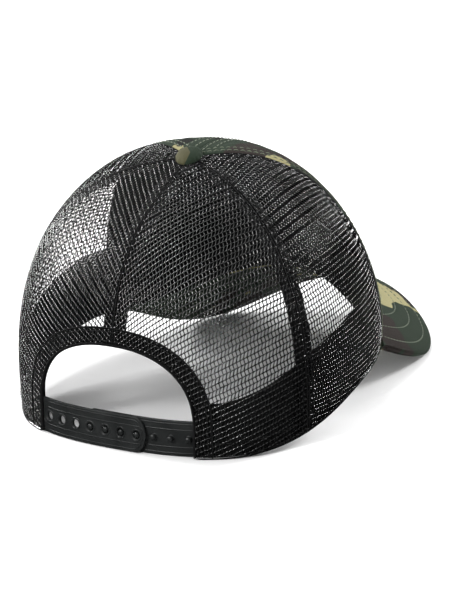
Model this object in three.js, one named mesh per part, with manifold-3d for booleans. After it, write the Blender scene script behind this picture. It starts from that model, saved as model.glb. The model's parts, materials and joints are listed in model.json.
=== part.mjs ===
// Trucker cap with two cloth front panels, four mesh panels, a curved peak and a snap strap.
// Millimetres. +Z up, +Y towards the peak, +X towards the wearer's right. The floor is z = 0.
import * as THREE from 'three';
import Module from 'manifold-3d';
import { mergeVertices } from 'three/addons/utils/BufferGeometryUtils.js';

const wasm = await Module();
wasm.setup();

// ---------------------------------------------------------------- driving dimensions

const RAD = Math.PI / 180;

// Plan of the rim: a rounded outline, pinched at the front by the curved peak.
const HALF_WIDTH = 94;
const FRONT_LENGTH = 93;
const BACK_LENGTH = 90.5;
const FRONT_ROUNDNESS = 1.75;
const BACK_ROUNDNESS = 2.6;

// Height of the rim over the floor: flat at the back, raised at the sides, arched at the front.
const SIDE_RISE = 24.5;
const FRONT_ARCH = 22;
const SIDE_RISE_START = 0.1;
const SIDE_RISE_END = 0.69;
const FRONT_ARCH_START = 0.67;
const FRONT_ARCH_SHARPNESS = 2.4;

// Top of the crown, where the button sits, and the meridian curves that lead to it.
const APEX_Y = -4;
const APEX_HEIGHT = 133.5;
const RIM_LEAN = { front: 0.41, side: 0.27, back: -0.09 };
const RIM_PULL = { front: 32, side: 37, back: 82 };
const APEX_PULL = { front: 63, side: 92, back: 76 };
const APEX_SLOPE = { front: 0.36, side: 0.09, back: -0.34 };

// Seams, as angles round the crown from the centre front.
const FRONT_SEAM = 65 * RAD;
const REAR_SEAM = 114 * RAD;
const CENTRE_BACK = 180 * RAD;

// Layers of cloth, as depths below the outer surface.
const GAP = 0.4;
const PANEL = 1.0;
const LINING = 0.8;
const TAPE = 0.6;
const TAPE_GAP = 0.6;
const SWEATBAND_DEPTH = 3.9;
const SWEATBAND = 2.0;
const APEX_HOLE = 4.2;

// Narrow pieces sewn over the seams, and the band inside the rim.
const TAPE_WIDTH = 11;
const BACK_TAPE_WIDTH = 14;
const TAPE_TOP = 17;
const TAPE_BOTTOM = 2.5;
const BACK_TAPE_BOTTOM = 62.8;
const SWEATBAND_HEIGHT = 40;
const SWEATBAND_END_HEIGHT = 28;
const SWEATBAND_TAPER = 105 * RAD;
const SWEATBAND_LIFT = 0.6;
const SWEATBAND_END = 145.5 * RAD;
const STRAP_PASS_START = 124 * RAD;
const STRAP_PASS_END = 134 * RAD;
const STRAP_PASS_DEPTH = 1.5;

// Rear opening: a straight-sided arch with a rounded top.
const ARCH_HALF_WIDTH = 47.5;
const ARCH_TOP = 53.7;
const ARCH_SPRING = 16;
const ARCH_ROUNDNESS = 2.4;
const FACING_WIDTH = 8.5;
const FACING_FOOT = 20;

// Button and the rivet that holds it.
const BUTTON_RADIUS = 7.3;
const BUTTON_RISE = 4.2;
const BUTTON_WALL = 0.8;
const BUTTON_LIFT = 0.5;
const BUTTON_TILT = 20 * RAD;
const RIVET_RADIUS = 1.6;
const RIVET_HEAD_RADIUS = 4.6;
const RIVET_WASHER_RADIUS = 6.5;
const RIVET_DEPTH = 6.2;

// Peak: a sheet that falls away to both sides, cut to a rounded outline.
const PEAK_SLOPE = -0.39;
const PEAK_BEND = 0.0068;
const PEAK_BEND_GROWTH = 0.0024;
const PEAK_ROOT_Y = 85;
const PEAK_HALF_WIDTH = 81.5;
const PEAK_TIP_Y = 154.5;
const PEAK_ROUNDNESS = 2.8;
const PEAK_ROOT_LIFT = 0.035;
const PEAK_ROOT_GAP = 0.45;
const PEAK_CORNER_GAP = 1.0;
const PEAK_CORNER_OVERLAP = 2 * RAD;
const PEAK_CLOTH = 0.8;
const PEAK_BOARD = 2.0;
const PEAK_BOARD_INSET = 3;

// Snap strap: two tongues that overlap and snap together at the middle of the opening.
const STRAP_HEIGHT = 18;
const STRAP_BOTTOM = 0.8;
const STRAP_THICKNESS = 1.6;
const STRAP_PITCH = 9.7;
const STRAP_STATIONS = 10;
const STRAP_CENTRE = 1;
const HOLE_COUNT = 7;
const PEG_COUNT = 7;
const HOLE_DIAMETER = 4.9;
const PEG_DIAMETER = 3.1;
const PEG_LENGTH = 2.7;
const STRAP_END = 5.2;
const STRAP_CORNER = 6.3;
const HOLE_OVERCUT = 2;
const HOLE_STRAP_DEPTH = 1.4;
const PEG_STRAP_DEPTH = 3.4;
const HOLE_STRAP_ROOT = 46.4;
const PEG_STRAP_ROOT = 49.6;
const STRAP_ROOT_GAP = 1.1;
const TAB_LENGTH = 10;

// Fineness of the curved faces.
const PANEL_STEPS = { across: 8, up: 14 };
const PEAK_STEPS = { across: 22, out: 5 };
const SWEATBAND_STEPS = { round: 44, up: 3 };
const TAPE_STEPS = 16;
const STRAP_STEPS = 8;
const ROUND_SIDES = 12;

// ---------------------------------------------------------------- small helpers

const lerp = (from, to, share) => from + (to - from) * share;
const clamp01 = (value) => Math.min(1, Math.max(0, value));
const smoothStep = (value) => clamp01(value) ** 2 * (3 - 2 * clamp01(value));

// A value that runs smoothly from the front round the side to the back.
function around(angle, { front, side, back }) {
  const mean = (front + 2 * side + back) / 4;
  const frontToBack = (front - back) / 2;
  const endsToSide = (front - 2 * side + back) / 4;
  return mean + frontToBack * Math.cos(angle) + endsToSide * Math.cos(2 * angle);
}

// Finds where a rising function passes a target.
function solve(rising, target, low, high) {
  for (let step = 0; step < 40; step += 1) {
    const middle = (low + high) / 2;
    if (rising(middle) < target) low = middle;
    else high = middle;
  }
  return (low + high) / 2;
}

function superellipseRadius(angle, sideways, forwards, roundness) {
  const side = Math.abs(Math.sin(angle)) / sideways;
  const front = Math.abs(Math.cos(angle)) / forwards;
  return (side ** roundness + front ** roundness) ** (-1 / roundness);
}

// ---------------------------------------------------------------- crown surface

// 1 at the centre front, 0 at the centre back.
const frontShare = (angle) => (1 + Math.cos(angle)) / 2;

function rimRadius(angle) {
  const share = frontShare(angle);
  const length = lerp(BACK_LENGTH, FRONT_LENGTH, share);
  return superellipseRadius(angle, HALF_WIDTH, length, lerp(BACK_ROUNDNESS, FRONT_ROUNDNESS, share));
}

function rimHeight(angle) {
  const share = frontShare(angle);
  const side = smoothStep((share - SIDE_RISE_START) / (SIDE_RISE_END - SIDE_RISE_START));
  const front = Math.max(0, (share - FRONT_ARCH_START) / (1 - FRONT_ARCH_START));
  return SIDE_RISE * side + FRONT_ARCH * front ** FRONT_ARCH_SHARPNESS;
}

const apex = new THREE.Vector3(0, APEX_Y, APEX_HEIGHT);

// The meridian at an angle, from the rim (0) to the apex (1).
function meridian(angle) {
  const outward = new THREE.Vector3(Math.sin(angle), Math.cos(angle), 0);
  const rim = outward.clone().multiplyScalar(rimRadius(angle)).setZ(rimHeight(angle));
  const fromApex = rim.clone().sub(apex).setZ(0).normalize();
  const lean = around(angle, RIM_LEAN);
  const slope = around(angle, APEX_SLOPE);
  const lower = outward.multiplyScalar(Math.sin(lean)).setZ(Math.cos(lean));
  const upper = fromApex.multiplyScalar(Math.cos(slope)).setZ(Math.sin(slope));
  return new THREE.CubicBezierCurve3(
    rim,
    lower.multiplyScalar(around(angle, RIM_PULL)).add(rim),
    upper.multiplyScalar(around(angle, APEX_PULL)).add(apex),
    apex,
  );
}

const crownPoint = (angle, rise) => meridian(angle).getPoint(rise);

// A point at a depth below the crown's outer surface.
function crownLayer(angle, rise, depth) {
  const step = 0.002;
  const along = crownPoint(angle, rise + step).sub(crownPoint(angle, rise - step));
  const across = crownPoint(angle + step, rise).sub(crownPoint(angle - step, rise));
  const inward = across.cross(along).normalize();
  return crownPoint(angle, rise).addScaledVector(inward, depth);
}

// How far round the crown one radian reaches at a height.
function reachPerRadian(angle, rise) {
  const step = 0.01;
  return crownPoint(angle + step, rise).distanceTo(crownPoint(angle - step, rise)) / (2 * step);
}

// The rise at which a meridian is a given distance from the apex, or has a given length or height.
function riseNearApex(angle, distance) {
  const closeness = (rise) => -crownPoint(angle, rise).setZ(0).distanceTo(apex.clone().setZ(0));
  return solve(closeness, -distance, 0.5, 1);
}

function riseAtLength(angle, length) {
  return solve((rise) => crownPoint(angle, rise).distanceTo(crownPoint(angle, 0)), length, 0, 0.6);
}

const riseAtHeight = (angle, height) => solve((rise) => crownPoint(angle, rise).z, height, 0, 0.6);

// ---------------------------------------------------------------- closed bodies

// A closed body between two sheets of points, each given as point(u, v) with u and v from 0 to 1.
function slab(outer, inner, stepsU, stepsV) {
  const positions = [];
  const index = [];
  const row = stepsV + 1;
  const sheetSize = (stepsU + 1) * row;
  for (const sheet of [outer, inner]) {
    for (let i = 0; i <= stepsU; i += 1) {
      for (let j = 0; j <= stepsV; j += 1) positions.push(...sheet(i / stepsU, j / stepsV).toArray());
    }
  }
  const quad = (a, b, c, d) => index.push(a, b, c, a, c, d);
  for (let i = 0; i < stepsU; i += 1) {
    for (let j = 0; j < stepsV; j += 1) {
      const a = i * row + j;
      quad(a, a + row, a + row + 1, a + 1);
      quad(sheetSize + a, sheetSize + a + 1, sheetSize + a + row + 1, sheetSize + a + row);
    }
  }
  for (let i = 0; i < stepsU; i += 1) {
    const low = i * row;
    const high = low + stepsV;
    quad(low, sheetSize + low, sheetSize + low + row, low + row);
    quad(high, high + row, sheetSize + high + row, sheetSize + high);
  }
  for (let j = 0; j < stepsV; j += 1) {
    const far = stepsU * row + j;
    quad(j, j + 1, sheetSize + j + 1, sheetSize + j);
    quad(far, sheetSize + far, sheetSize + far + 1, far + 1);
  }
  const geometry = new THREE.BufferGeometry();
  geometry.setAttribute('position', new THREE.Float32BufferAttribute(positions, 3));
  geometry.setIndex(index);
  return volume(geometry) > 0 ? geometry : flipped(geometry);
}

function flipped(geometry) {
  const index = geometry.index.array;
  for (let corner = 0; corner < index.length; corner += 3) {
    [index[corner], index[corner + 1]] = [index[corner + 1], index[corner]];
  }
  return geometry;
}

function volume(geometry) {
  const { position } = geometry.attributes;
  const corner = (slot) => new THREE.Vector3().fromBufferAttribute(position, geometry.index.getX(slot));
  let total = 0;
  for (let slot = 0; slot < geometry.index.count; slot += 3) {
    total += corner(slot).dot(corner(slot + 1).cross(corner(slot + 2))) / 6;
  }
  return total;
}

function toSolid(geometry) {
  const bare = geometry.clone();
  bare.deleteAttribute('normal');
  bare.deleteAttribute('uv');
  const merged = mergeVertices(bare, 1e-4);
  return new wasm.Manifold(new wasm.Mesh({
    numProp: 3,
    vertProperties: Float32Array.from(merged.attributes.position.array),
    triVerts: Uint32Array.from(merged.index.array),
  }));
}

function fromSolid(solid) {
  const mesh = solid.getMesh();
  const geometry = new THREE.BufferGeometry();
  geometry.setAttribute('position', new THREE.BufferAttribute(mesh.vertProperties, 3));
  geometry.setIndex(new THREE.BufferAttribute(mesh.triVerts, 1));
  return geometry;
}

const cut = (geometry, cutter) => fromSolid(toSolid(geometry).subtract(toSolid(cutter)));
const keepInside = (geometry, keeper) => fromSolid(toSolid(geometry).intersect(toSolid(keeper)));

// ---------------------------------------------------------------- materials

const COLOURS = {
  camouflage: { color: 0x48543f, roughness: 0.9 },
  buckram: { color: 0x1f2020, roughness: 0.95 },
  mesh: { color: 0x161616, roughness: 0.6 },
  tape: { color: 0x101010, roughness: 0.85 },
  sweatband: { color: 0x141414, roughness: 0.95 },
  board: { color: 0x2a2a2a, roughness: 0.7 },
  snapPlastic: { color: 0x232425, roughness: 0.4 },
  rivet: { color: 0x8f9092, roughness: 0.35, metalness: 1 },
};

const cap = new THREE.Group();

function addPart(name, geometry, finish) {
  const part = new THREE.Mesh(geometry, new THREE.MeshStandardMaterial({ metalness: 0, ...COLOURS[finish] }));
  part.name = name;
  cap.add(part);
  return part;
}

// ---------------------------------------------------------------- crown pieces

// A layer of the crown between two angles. Its lower edge is level across its thickness.
function crownSlab({ from, to, depth, thickness, bottom, top, steps }) {
  const depthAt = typeof depth === 'function' ? depth : () => depth;
  const sheet = (extra) => (u, v) => {
    const middle = lerp(from, to, u);
    const rise = lerp(bottom(middle), top(middle), v);
    const inset = GAP / 2 / reachPerRadian(middle, rise);
    const angle = lerp(from + inset, to - inset, u);
    const point = crownLayer(angle, rise, depthAt(angle) + extra);
    return v === 0 ? point.setZ(crownPoint(angle, rise).z) : point;
  };
  return slab(sheet(0), sheet(thickness), steps.across, steps.up);
}

function crownPanel(from, to, depth, thickness, bottom = () => 0) {
  const top = (angle) => riseNearApex(angle, APEX_HOLE);
  return crownSlab({ from, to, depth, thickness, bottom, top, steps: PANEL_STEPS });
}

// The outline of the rear opening, grown outwards, as a prism through the back of the crown.
function archPrism(growth, foot) {
  const outline = new THREE.Shape();
  const halfWidth = ARCH_HALF_WIDTH + growth;
  const rise = ARCH_TOP - ARCH_SPRING + growth;
  outline.moveTo(-halfWidth, foot);
  for (let step = 0; step <= ROUND_SIDES; step += 1) {
    const angle = lerp(-90, 90, step / ROUND_SIDES) * RAD;
    const radius = superellipseRadius(angle, halfWidth, rise, ARCH_ROUNDNESS);
    outline.lineTo(radius * Math.sin(angle), ARCH_SPRING + radius * Math.cos(angle));
  }
  outline.lineTo(halfWidth, foot);
  const prism = new THREE.ExtrudeGeometry(outline, { depth: BACK_LENGTH, bevelEnabled: false });
  prism.rotateX(Math.PI / 2);
  prism.translate(0, -HALF_WIDTH / 3, 0);
  return prism;
}

function addPanels() {
  const opening = archPrism(0, -1);
  for (const [side, sign] of [['left', -1], ['right', 1]]) {
    const span = (near, far) => (sign > 0 ? [near, far] : [-far, -near]);
    addPart(`front_panel_${side}`, crownPanel(...span(0, FRONT_SEAM), 0, PANEL), 'camouflage');
    const lining = crownPanel(...span(0, FRONT_SEAM), PANEL + GAP, LINING, () => 0.02);
    addPart(`front_lining_${side}`, lining, 'buckram');
    addPart(`side_panel_${side}`, crownPanel(...span(FRONT_SEAM, REAR_SEAM), 0, PANEL), 'mesh');
    const rear = crownPanel(...span(REAR_SEAM, CENTRE_BACK), 0, PANEL);
    addPart(`rear_panel_${side}`, cut(rear, opening), 'mesh');
  }
}

// A strip of even width along the inside of a seam.
function seamTape(seam, depth, lowest, width = TAPE_WIDTH) {
  const bottom = lowest;
  const top = riseNearApex(seam, TAPE_TOP);
  const sheet = (sheetDepth) => (u, v) => {
    const rise = lerp(bottom, top, v);
    const angle = seam + (u - 0.5) * width / reachPerRadian(seam, rise);
    return crownLayer(angle, rise, sheetDepth);
  };
  return slab(sheet(depth), sheet(depth + TAPE), 2, TAPE_STEPS);
}

function addSeamTapes() {
  const behindPanel = PANEL + TAPE_GAP;
  const behindLining = PANEL + GAP + LINING + TAPE_GAP;
  const start = (seam) => riseAtLength(seam, TAPE_BOTTOM);
  addPart('seam_tape_centre_front', seamTape(0, behindLining, start(0)), 'tape');
  for (const [side, sign] of [['left', -1], ['right', 1]]) {
    const front = sign * FRONT_SEAM;
    const rear = sign * REAR_SEAM;
    addPart(`seam_tape_front_${side}`, seamTape(front, behindLining, start(front)), 'tape');
    addPart(`seam_tape_rear_${side}`, seamTape(rear, behindPanel, start(rear)), 'tape');
  }
  const overArch = riseAtHeight(CENTRE_BACK, BACK_TAPE_BOTTOM);
  addPart('seam_tape_centre_back', seamTape(CENTRE_BACK, behindPanel, overArch, BACK_TAPE_WIDTH), 'tape');
}

function addArchFacing() {
  const blank = crownSlab({
    from: REAR_SEAM + GAP,
    to: 2 * CENTRE_BACK - REAR_SEAM - GAP,
    depth: PANEL + TAPE_GAP,
    thickness: TAPE,
    bottom: (angle) => riseAtHeight(angle, FACING_FOOT),
    top: () => 0.42,
    steps: { across: 24, up: 6 },
  });
  const band = cut(archPrism(FACING_WIDTH, 0), archPrism(0, -1));
  addPart('arch_facing', keepInside(blank, band), 'tape');
}

// The band lies against the crown, and passes inside the strap's tabs at its ends.
function sweatbandDepth(angle) {
  const towardsEnd = (Math.abs(angle) - STRAP_PASS_START) / (STRAP_PASS_END - STRAP_PASS_START);
  return SWEATBAND_DEPTH + STRAP_PASS_DEPTH * smoothStep(towardsEnd);
}

// The band is cut narrower towards its two ends at the rear opening.
function sweatbandHeight(angle) {
  const towardsEnd = (Math.abs(angle) - SWEATBAND_TAPER) / (SWEATBAND_END - SWEATBAND_TAPER);
  return lerp(SWEATBAND_HEIGHT, SWEATBAND_END_HEIGHT, smoothStep(towardsEnd));
}

function addSweatband() {
  const band = crownSlab({
    from: -SWEATBAND_END,
    to: SWEATBAND_END,
    depth: sweatbandDepth,
    thickness: SWEATBAND,
    bottom: (angle) => riseAtLength(angle, SWEATBAND_LIFT),
    top: (angle) => riseAtLength(angle, sweatbandHeight(angle)),
    steps: { across: SWEATBAND_STEPS.round, up: SWEATBAND_STEPS.up },
  });
  addPart('sweatband', band, 'sweatband');
}

// ---------------------------------------------------------------- button

function turned(points) {
  const geometry = new THREE.LatheGeometry(points.map(([radius, height]) => new THREE.Vector2(radius, height)), 24);
  geometry.deleteAttribute('normal');
  geometry.deleteAttribute('uv');
  const merged = mergeVertices(geometry, 1e-4);
  merged.rotateX(Math.PI / 2);
  return volume(merged) > 0 ? merged : flipped(merged);
}

function dome(radius, rise, base, steps) {
  return Array.from({ length: steps + 1 }, (_, step) => {
    const angle = (step / steps) * Math.PI / 2;
    return [radius * Math.sin(angle), base + rise * Math.cos(angle)];
  });
}

function addButton() {
  const outer = dome(BUTTON_RADIUS, BUTTON_RISE, BUTTON_LIFT, 6);
  const inner = dome(BUTTON_RADIUS - BUTTON_WALL, BUTTON_RISE - BUTTON_WALL, BUTTON_LIFT, 6);
  const headTop = BUTTON_LIFT + (BUTTON_RISE - BUTTON_WALL) * 0.6;
  const headBottom = headTop - BUTTON_WALL;
  const washerTop = -RIVET_DEPTH + BUTTON_WALL;
  const shell = addPart('button_shell', turned([...outer, ...inner.reverse()]), 'camouflage');
  const rivet = addPart('button_rivet', turned([
    [0, headTop], [RIVET_HEAD_RADIUS, headTop], [RIVET_HEAD_RADIUS, headBottom], [RIVET_RADIUS, headBottom],
    [RIVET_RADIUS, washerTop], [RIVET_WASHER_RADIUS, washerTop], [RIVET_WASHER_RADIUS, -RIVET_DEPTH],
    [0, -RIVET_DEPTH],
  ]), 'rivet');
  for (const part of [shell, rivet]) {
    part.position.copy(apex);
    part.rotation.x = BUTTON_TILT;
  }
}

// ---------------------------------------------------------------- peak

// Height of the peak's middle layer over its root level.
function peakSheet(x, y) {
  const out = y - PEAK_ROOT_Y;
  return PEAK_SLOPE * out - PEAK_BEND * x * x * (1 + PEAK_BEND_GROWTH * out);
}

// A point of the line round the crown that the peak is sewn to, pushed out by a gap.
function peakRoot(angle, gap) {
  const outward = new THREE.Vector3(Math.sin(angle), Math.cos(angle), 0);
  return crownPoint(angle, PEAK_ROOT_LIFT).addScaledVector(outward, gap).setZ(0);
}

// The peak's outline starts and ends on the crown, at the corners, and curves forwards between them.
function peakPlan(across, out, inset) {
  const halfWidth = PEAK_HALF_WIDTH - inset;
  const cornerAngle = solve((angle) => peakRoot(angle, PEAK_CORNER_GAP).x, halfWidth, 0, FRONT_SEAM);
  const corner = peakRoot(cornerAngle, PEAK_CORNER_GAP);
  const rootEnd = cornerAngle + PEAK_CORNER_OVERLAP;
  const turn = lerp(-90, 90, across) * RAD;
  const power = 2 / PEAK_ROUNDNESS;
  const edge = new THREE.Vector3(
    corner.x * Math.sign(turn) * Math.abs(Math.sin(turn)) ** power,
    corner.y + (PEAK_TIP_Y - inset - corner.y) * Math.cos(turn) ** power,
    0,
  );
  return peakRoot(lerp(-rootEnd, rootEnd, across), PEAK_ROOT_GAP).lerp(edge, out);
}

// A layer of the peak at a height over its middle.
function peakLayer(height, inset) {
  return (across, out) => {
    const point = peakPlan(across, out, inset);
    const step = 0.5;
    const slopeX = (peakSheet(point.x + step, point.y) - peakSheet(point.x - step, point.y)) / (2 * step);
    const slopeY = (peakSheet(point.x, point.y + step) - peakSheet(point.x, point.y - step)) / (2 * step);
    const normal = new THREE.Vector3(-slopeX, -slopeY, 1).normalize();
    return point.setZ(peakSheet(point.x, point.y)).addScaledVector(normal, height);
  };
}

function peakSlab(bottom, top, inset) {
  return slab(peakLayer(top, inset), peakLayer(bottom, inset), PEAK_STEPS.across, PEAK_STEPS.out);
}

function addPeak() {
  const boardTop = PEAK_BOARD / 2;
  const clothGap = boardTop + GAP;
  const layers = {
    peak_top: [peakSlab(clothGap, clothGap + PEAK_CLOTH, 0), 'camouflage'],
    peak_board: [peakSlab(-boardTop, boardTop, PEAK_BOARD_INSET), 'board'],
    peak_under: [peakSlab(-clothGap - PEAK_CLOTH, -clothGap, 0), 'camouflage'],
  };
  // The lowest corners of the underside rest on the floor.
  const [underside] = layers.peak_under;
  underside.computeBoundingBox();
  const lift = -underside.boundingBox.min.z;
  for (const [name, [geometry, finish]] of Object.entries(layers)) {
    addPart(name, geometry, finish).position.z = lift;
  }
}

// ---------------------------------------------------------------- snap strap

// A point of the strap, which follows the inside of the rear panels. x is measured at the rim.
function strapPoint(x, height, depth) {
  const rimX = (turn) => rimRadius(CENTRE_BACK - turn) * Math.sin(turn);
  const angle = Math.sign(x || 1) * (CENTRE_BACK - solve(rimX, Math.abs(x), 0, 1.2));
  return crownLayer(angle, riseAtHeight(angle, height), depth);
}

// A strip along the back of the rim, with a square or a rounded end at each side.
function strapStrip(depth, from, to) {
  const steps = Math.max(3, Math.round((to.x - from.x) / 5));
  const sheet = (sheetDepth) => (u, v) => {
    const height = lerp(STRAP_BOTTOM, STRAP_BOTTOM + STRAP_HEIGHT, v);
    const fromMiddle = Math.abs(2 * v - 1);
    const roundOff = (end) => end.radius * (1 - Math.sqrt(Math.max(0, 1 - fromMiddle ** 2)));
    const x = lerp(from.x + roundOff(from), to.x - roundOff(to), u);
    return strapPoint(x, height, sheetDepth);
  };
  return slab(sheet(depth), sheet(depth + STRAP_THICKNESS), steps, STRAP_STEPS);
}

// A round bar square to the strap at a station, between two depths.
function strapBar(station, diameter, fromDepth, toDepth) {
  const middle = STRAP_BOTTOM + STRAP_HEIGHT / 2;
  const outer = strapPoint(stationX(station), middle, fromDepth);
  const inner = strapPoint(stationX(station), middle, toDepth);
  const bar = new THREE.CylinderGeometry(diameter / 2, diameter / 2, outer.distanceTo(inner), ROUND_SIDES);
  const along = outer.clone().sub(inner).normalize();
  bar.applyQuaternion(new THREE.Quaternion().setFromUnitVectors(new THREE.Vector3(0, 1, 0), along));
  const centre = outer.add(inner).divideScalar(2);
  return bar.translate(centre.x, centre.y, centre.z);
}

const stationX = (station) => STRAP_CENTRE + (station - (STRAP_STATIONS - 1) / 2) * STRAP_PITCH;
const square = (x) => ({ x, radius: 0 });
const rounded = (x) => ({ x, radius: STRAP_CORNER });

function addHoleStrap() {
  const root = -HOLE_STRAP_ROOT + STRAP_ROOT_GAP / 2;
  const tabEnd = -HOLE_STRAP_ROOT - STRAP_ROOT_GAP / 2;
  const tip = stationX(HOLE_COUNT - 1) + STRAP_END;
  let strap = toSolid(strapStrip(HOLE_STRAP_DEPTH, square(root), rounded(tip)));
  for (let station = 0; station < HOLE_COUNT; station += 1) {
    const through = [HOLE_STRAP_DEPTH - HOLE_OVERCUT, HOLE_STRAP_DEPTH + STRAP_THICKNESS + HOLE_OVERCUT];
    strap = strap.subtract(toSolid(strapBar(station, HOLE_DIAMETER, ...through)));
  }
  addPart('hole_strap', fromSolid(strap), 'snapPlastic');
  const tab = strapStrip(HOLE_STRAP_DEPTH, square(tabEnd - TAB_LENGTH), square(tabEnd));
  addPart('hole_strap_tab', tab, 'snapPlastic');
}

function addPegStrap() {
  const root = PEG_STRAP_ROOT - STRAP_ROOT_GAP / 2;
  const tabEnd = PEG_STRAP_ROOT + STRAP_ROOT_GAP / 2;
  const firstPeg = STRAP_STATIONS - PEG_COUNT;
  const tip = stationX(firstPeg) - STRAP_END;
  let strap = toSolid(strapStrip(PEG_STRAP_DEPTH, rounded(tip), square(root)));
  for (let station = firstPeg; station < STRAP_STATIONS; station += 1) {
    const reach = [PEG_STRAP_DEPTH - PEG_LENGTH, PEG_STRAP_DEPTH + STRAP_THICKNESS / 2];
    strap = strap.add(toSolid(strapBar(station, PEG_DIAMETER, ...reach)));
  }
  addPart('peg_strap', fromSolid(strap), 'snapPlastic');
  const tab = strapStrip(PEG_STRAP_DEPTH, square(tabEnd), square(tabEnd + TAB_LENGTH));
  addPart('peg_strap_tab', tab, 'snapPlastic');
}

// ---------------------------------------------------------------- assembly

addPanels();
addSeamTapes();
addArchFacing();
addSweatband();
addButton();
addPeak();
addHoleStrap();
addPegStrap();

// The frame's origin is under the middle of the whole cap.
const bounds = new THREE.Box3().setFromObject(cap);
cap.position.y = -(bounds.min.y + bounds.max.y) / 2;

export default cap;
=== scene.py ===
"""Looks of a trucker cap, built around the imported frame: net panels knitted as real threads, printed
twill front panels and peak, stitched seams, sweatband, covered button and a moulded snap strap.

Sizes are in millimetres, as on a sewing pattern, and become metres in to_frame().
"""
import json
import math

import bmesh
import bpy
import numpy as np
from mathutils import Matrix, Vector


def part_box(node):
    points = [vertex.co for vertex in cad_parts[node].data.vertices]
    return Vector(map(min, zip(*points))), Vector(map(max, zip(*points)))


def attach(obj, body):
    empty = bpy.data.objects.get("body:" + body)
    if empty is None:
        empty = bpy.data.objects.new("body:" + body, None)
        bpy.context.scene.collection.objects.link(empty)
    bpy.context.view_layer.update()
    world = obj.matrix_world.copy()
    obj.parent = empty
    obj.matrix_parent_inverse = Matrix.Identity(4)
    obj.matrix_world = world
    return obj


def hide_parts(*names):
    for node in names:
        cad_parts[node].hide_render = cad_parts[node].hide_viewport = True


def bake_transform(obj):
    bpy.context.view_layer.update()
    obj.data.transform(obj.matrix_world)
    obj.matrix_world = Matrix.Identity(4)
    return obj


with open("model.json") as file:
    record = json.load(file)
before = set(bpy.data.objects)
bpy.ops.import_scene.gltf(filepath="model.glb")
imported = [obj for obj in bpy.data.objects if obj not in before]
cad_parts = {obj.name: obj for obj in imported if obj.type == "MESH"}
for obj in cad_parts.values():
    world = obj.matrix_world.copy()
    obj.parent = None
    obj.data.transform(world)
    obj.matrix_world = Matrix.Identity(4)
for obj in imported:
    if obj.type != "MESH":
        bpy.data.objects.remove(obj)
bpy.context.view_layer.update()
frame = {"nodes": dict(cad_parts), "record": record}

MM = 0.001
HEAD_OPENING = next(m for m in frame["record"]["mounts"] if m["name"] == "head_opening")
CROWN_CENTRE = np.array([0.0, HEAD_OPENING["pos_m"][1], 0.0])
rng = np.random.default_rng(7)

# ------------------------------------------------------------------ pattern dimensions

HALF_WIDTH, FRONT_LENGTH, BACK_LENGTH = 94.0, 93.0, 90.5
FRONT_ROUNDNESS, BACK_ROUNDNESS = 1.75, 2.6
SIDE_RISE, SIDE_RISE_START, SIDE_RISE_END = 24.5, 0.1, 0.69
FRONT_ARCH, FRONT_ARCH_START, FRONT_ARCH_SHARPNESS = 22.0, 0.67, 2.4
APEX = np.array([0.0, -4.0, 133.5])
RIM_LEAN = (0.41, 0.27, -0.09)
RIM_PULL = (32.0, 37.0, 82.0)
APEX_PULL = (63.0, 92.0, 76.0)
APEX_SLOPE = (0.36, 0.09, -0.34)
FRONT_SEAM, REAR_SEAM, CENTRE_BACK = np.radians([65.0, 114.0, 180.0])
SIDES = (("left", -1), ("right", 1))

ARCH_HALF_WIDTH, ARCH_TOP, ARCH_SPRING, ARCH_ROUNDNESS = 47.5, 53.7, 16.0, 2.4
FACING_WIDTH = 8.5
SWEATBAND_HEIGHT, SWEATBAND_END_HEIGHT = 40.0, 28.0
SWEATBAND_TAPER, SWEATBAND_END = math.radians(105), math.radians(145.5)

PEAK_SLOPE, PEAK_BEND, PEAK_BEND_GROWTH = -0.39, 0.0068, 0.0024
PEAK_ROOT_Y, PEAK_HALF_WIDTH = 85.0, 81.5
PEAK_TIP_Y, PEAK_ROUNDNESS, PEAK_ROOT_LIFT = 154.5, 2.8, 0.035
PEAK_ROOT_GAP, PEAK_CORNER_GAP, PEAK_CORNER_OVERLAP = 0.45, 1.0, math.radians(2)
PEAK_EDGE_RADIUS = 2.1

STRAP_BOTTOM, STRAP_HEIGHT, STRAP_THICKNESS = 0.8, 18.0, 1.6
STRAP_PITCH, STRAP_CENTRE, STRAP_STATIONS = 9.7, 1.0, 10
HOLE_STRAP_DEPTH, PEG_STRAP_DEPTH = 1.4, 3.4

NET_DEPTH = 0.5
NET_ROW_PITCH = 2.62
SIDE_COLUMN_PITCH, REAR_COLUMN_PITCH = 1.85, 2.05

HALVINGS = 45


def to_frame(points):
    """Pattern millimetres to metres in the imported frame."""
    return np.asarray(points, float) * MM + CROWN_CENTRE


def unit(vectors):
    return vectors / np.linalg.norm(vectors, axis=-1, keepdims=True)


def travelled(path):
    """How far along a path each of its points is."""
    return np.concatenate([[0], np.cumsum(np.linalg.norm(np.diff(path, axis=0), axis=1))])


def add_to_scene(name, data):
    made = bpy.data.objects.new(name, data)
    bpy.context.scene.collection.objects.link(made)
    return made


# ------------------------------------------------------------------ crown surface


def around(angle, values):
    """A value that runs smoothly through its front, side and back values as the angle goes round."""
    front, side, back = values
    mean = (front + 2 * side + back) / 4
    return mean + (front - back) / 2 * np.cos(angle) + (front - 2 * side + back) / 4 * np.cos(2 * angle)


def smooth(value):
    value = np.clip(value, 0, 1)
    return value * value * (3 - 2 * value)


def superellipse_radius(angle, sideways, forwards, roundness):
    side = np.abs(np.sin(angle)) / sideways
    front = np.abs(np.cos(angle)) / forwards
    return (side**roundness + front**roundness) ** (-1 / roundness)


def rim_radius(angle):
    share = (1 + np.cos(angle)) / 2
    length = BACK_LENGTH + (FRONT_LENGTH - BACK_LENGTH) * share
    roundness = BACK_ROUNDNESS + (FRONT_ROUNDNESS - BACK_ROUNDNESS) * share
    return superellipse_radius(angle, HALF_WIDTH, length, roundness)


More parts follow.
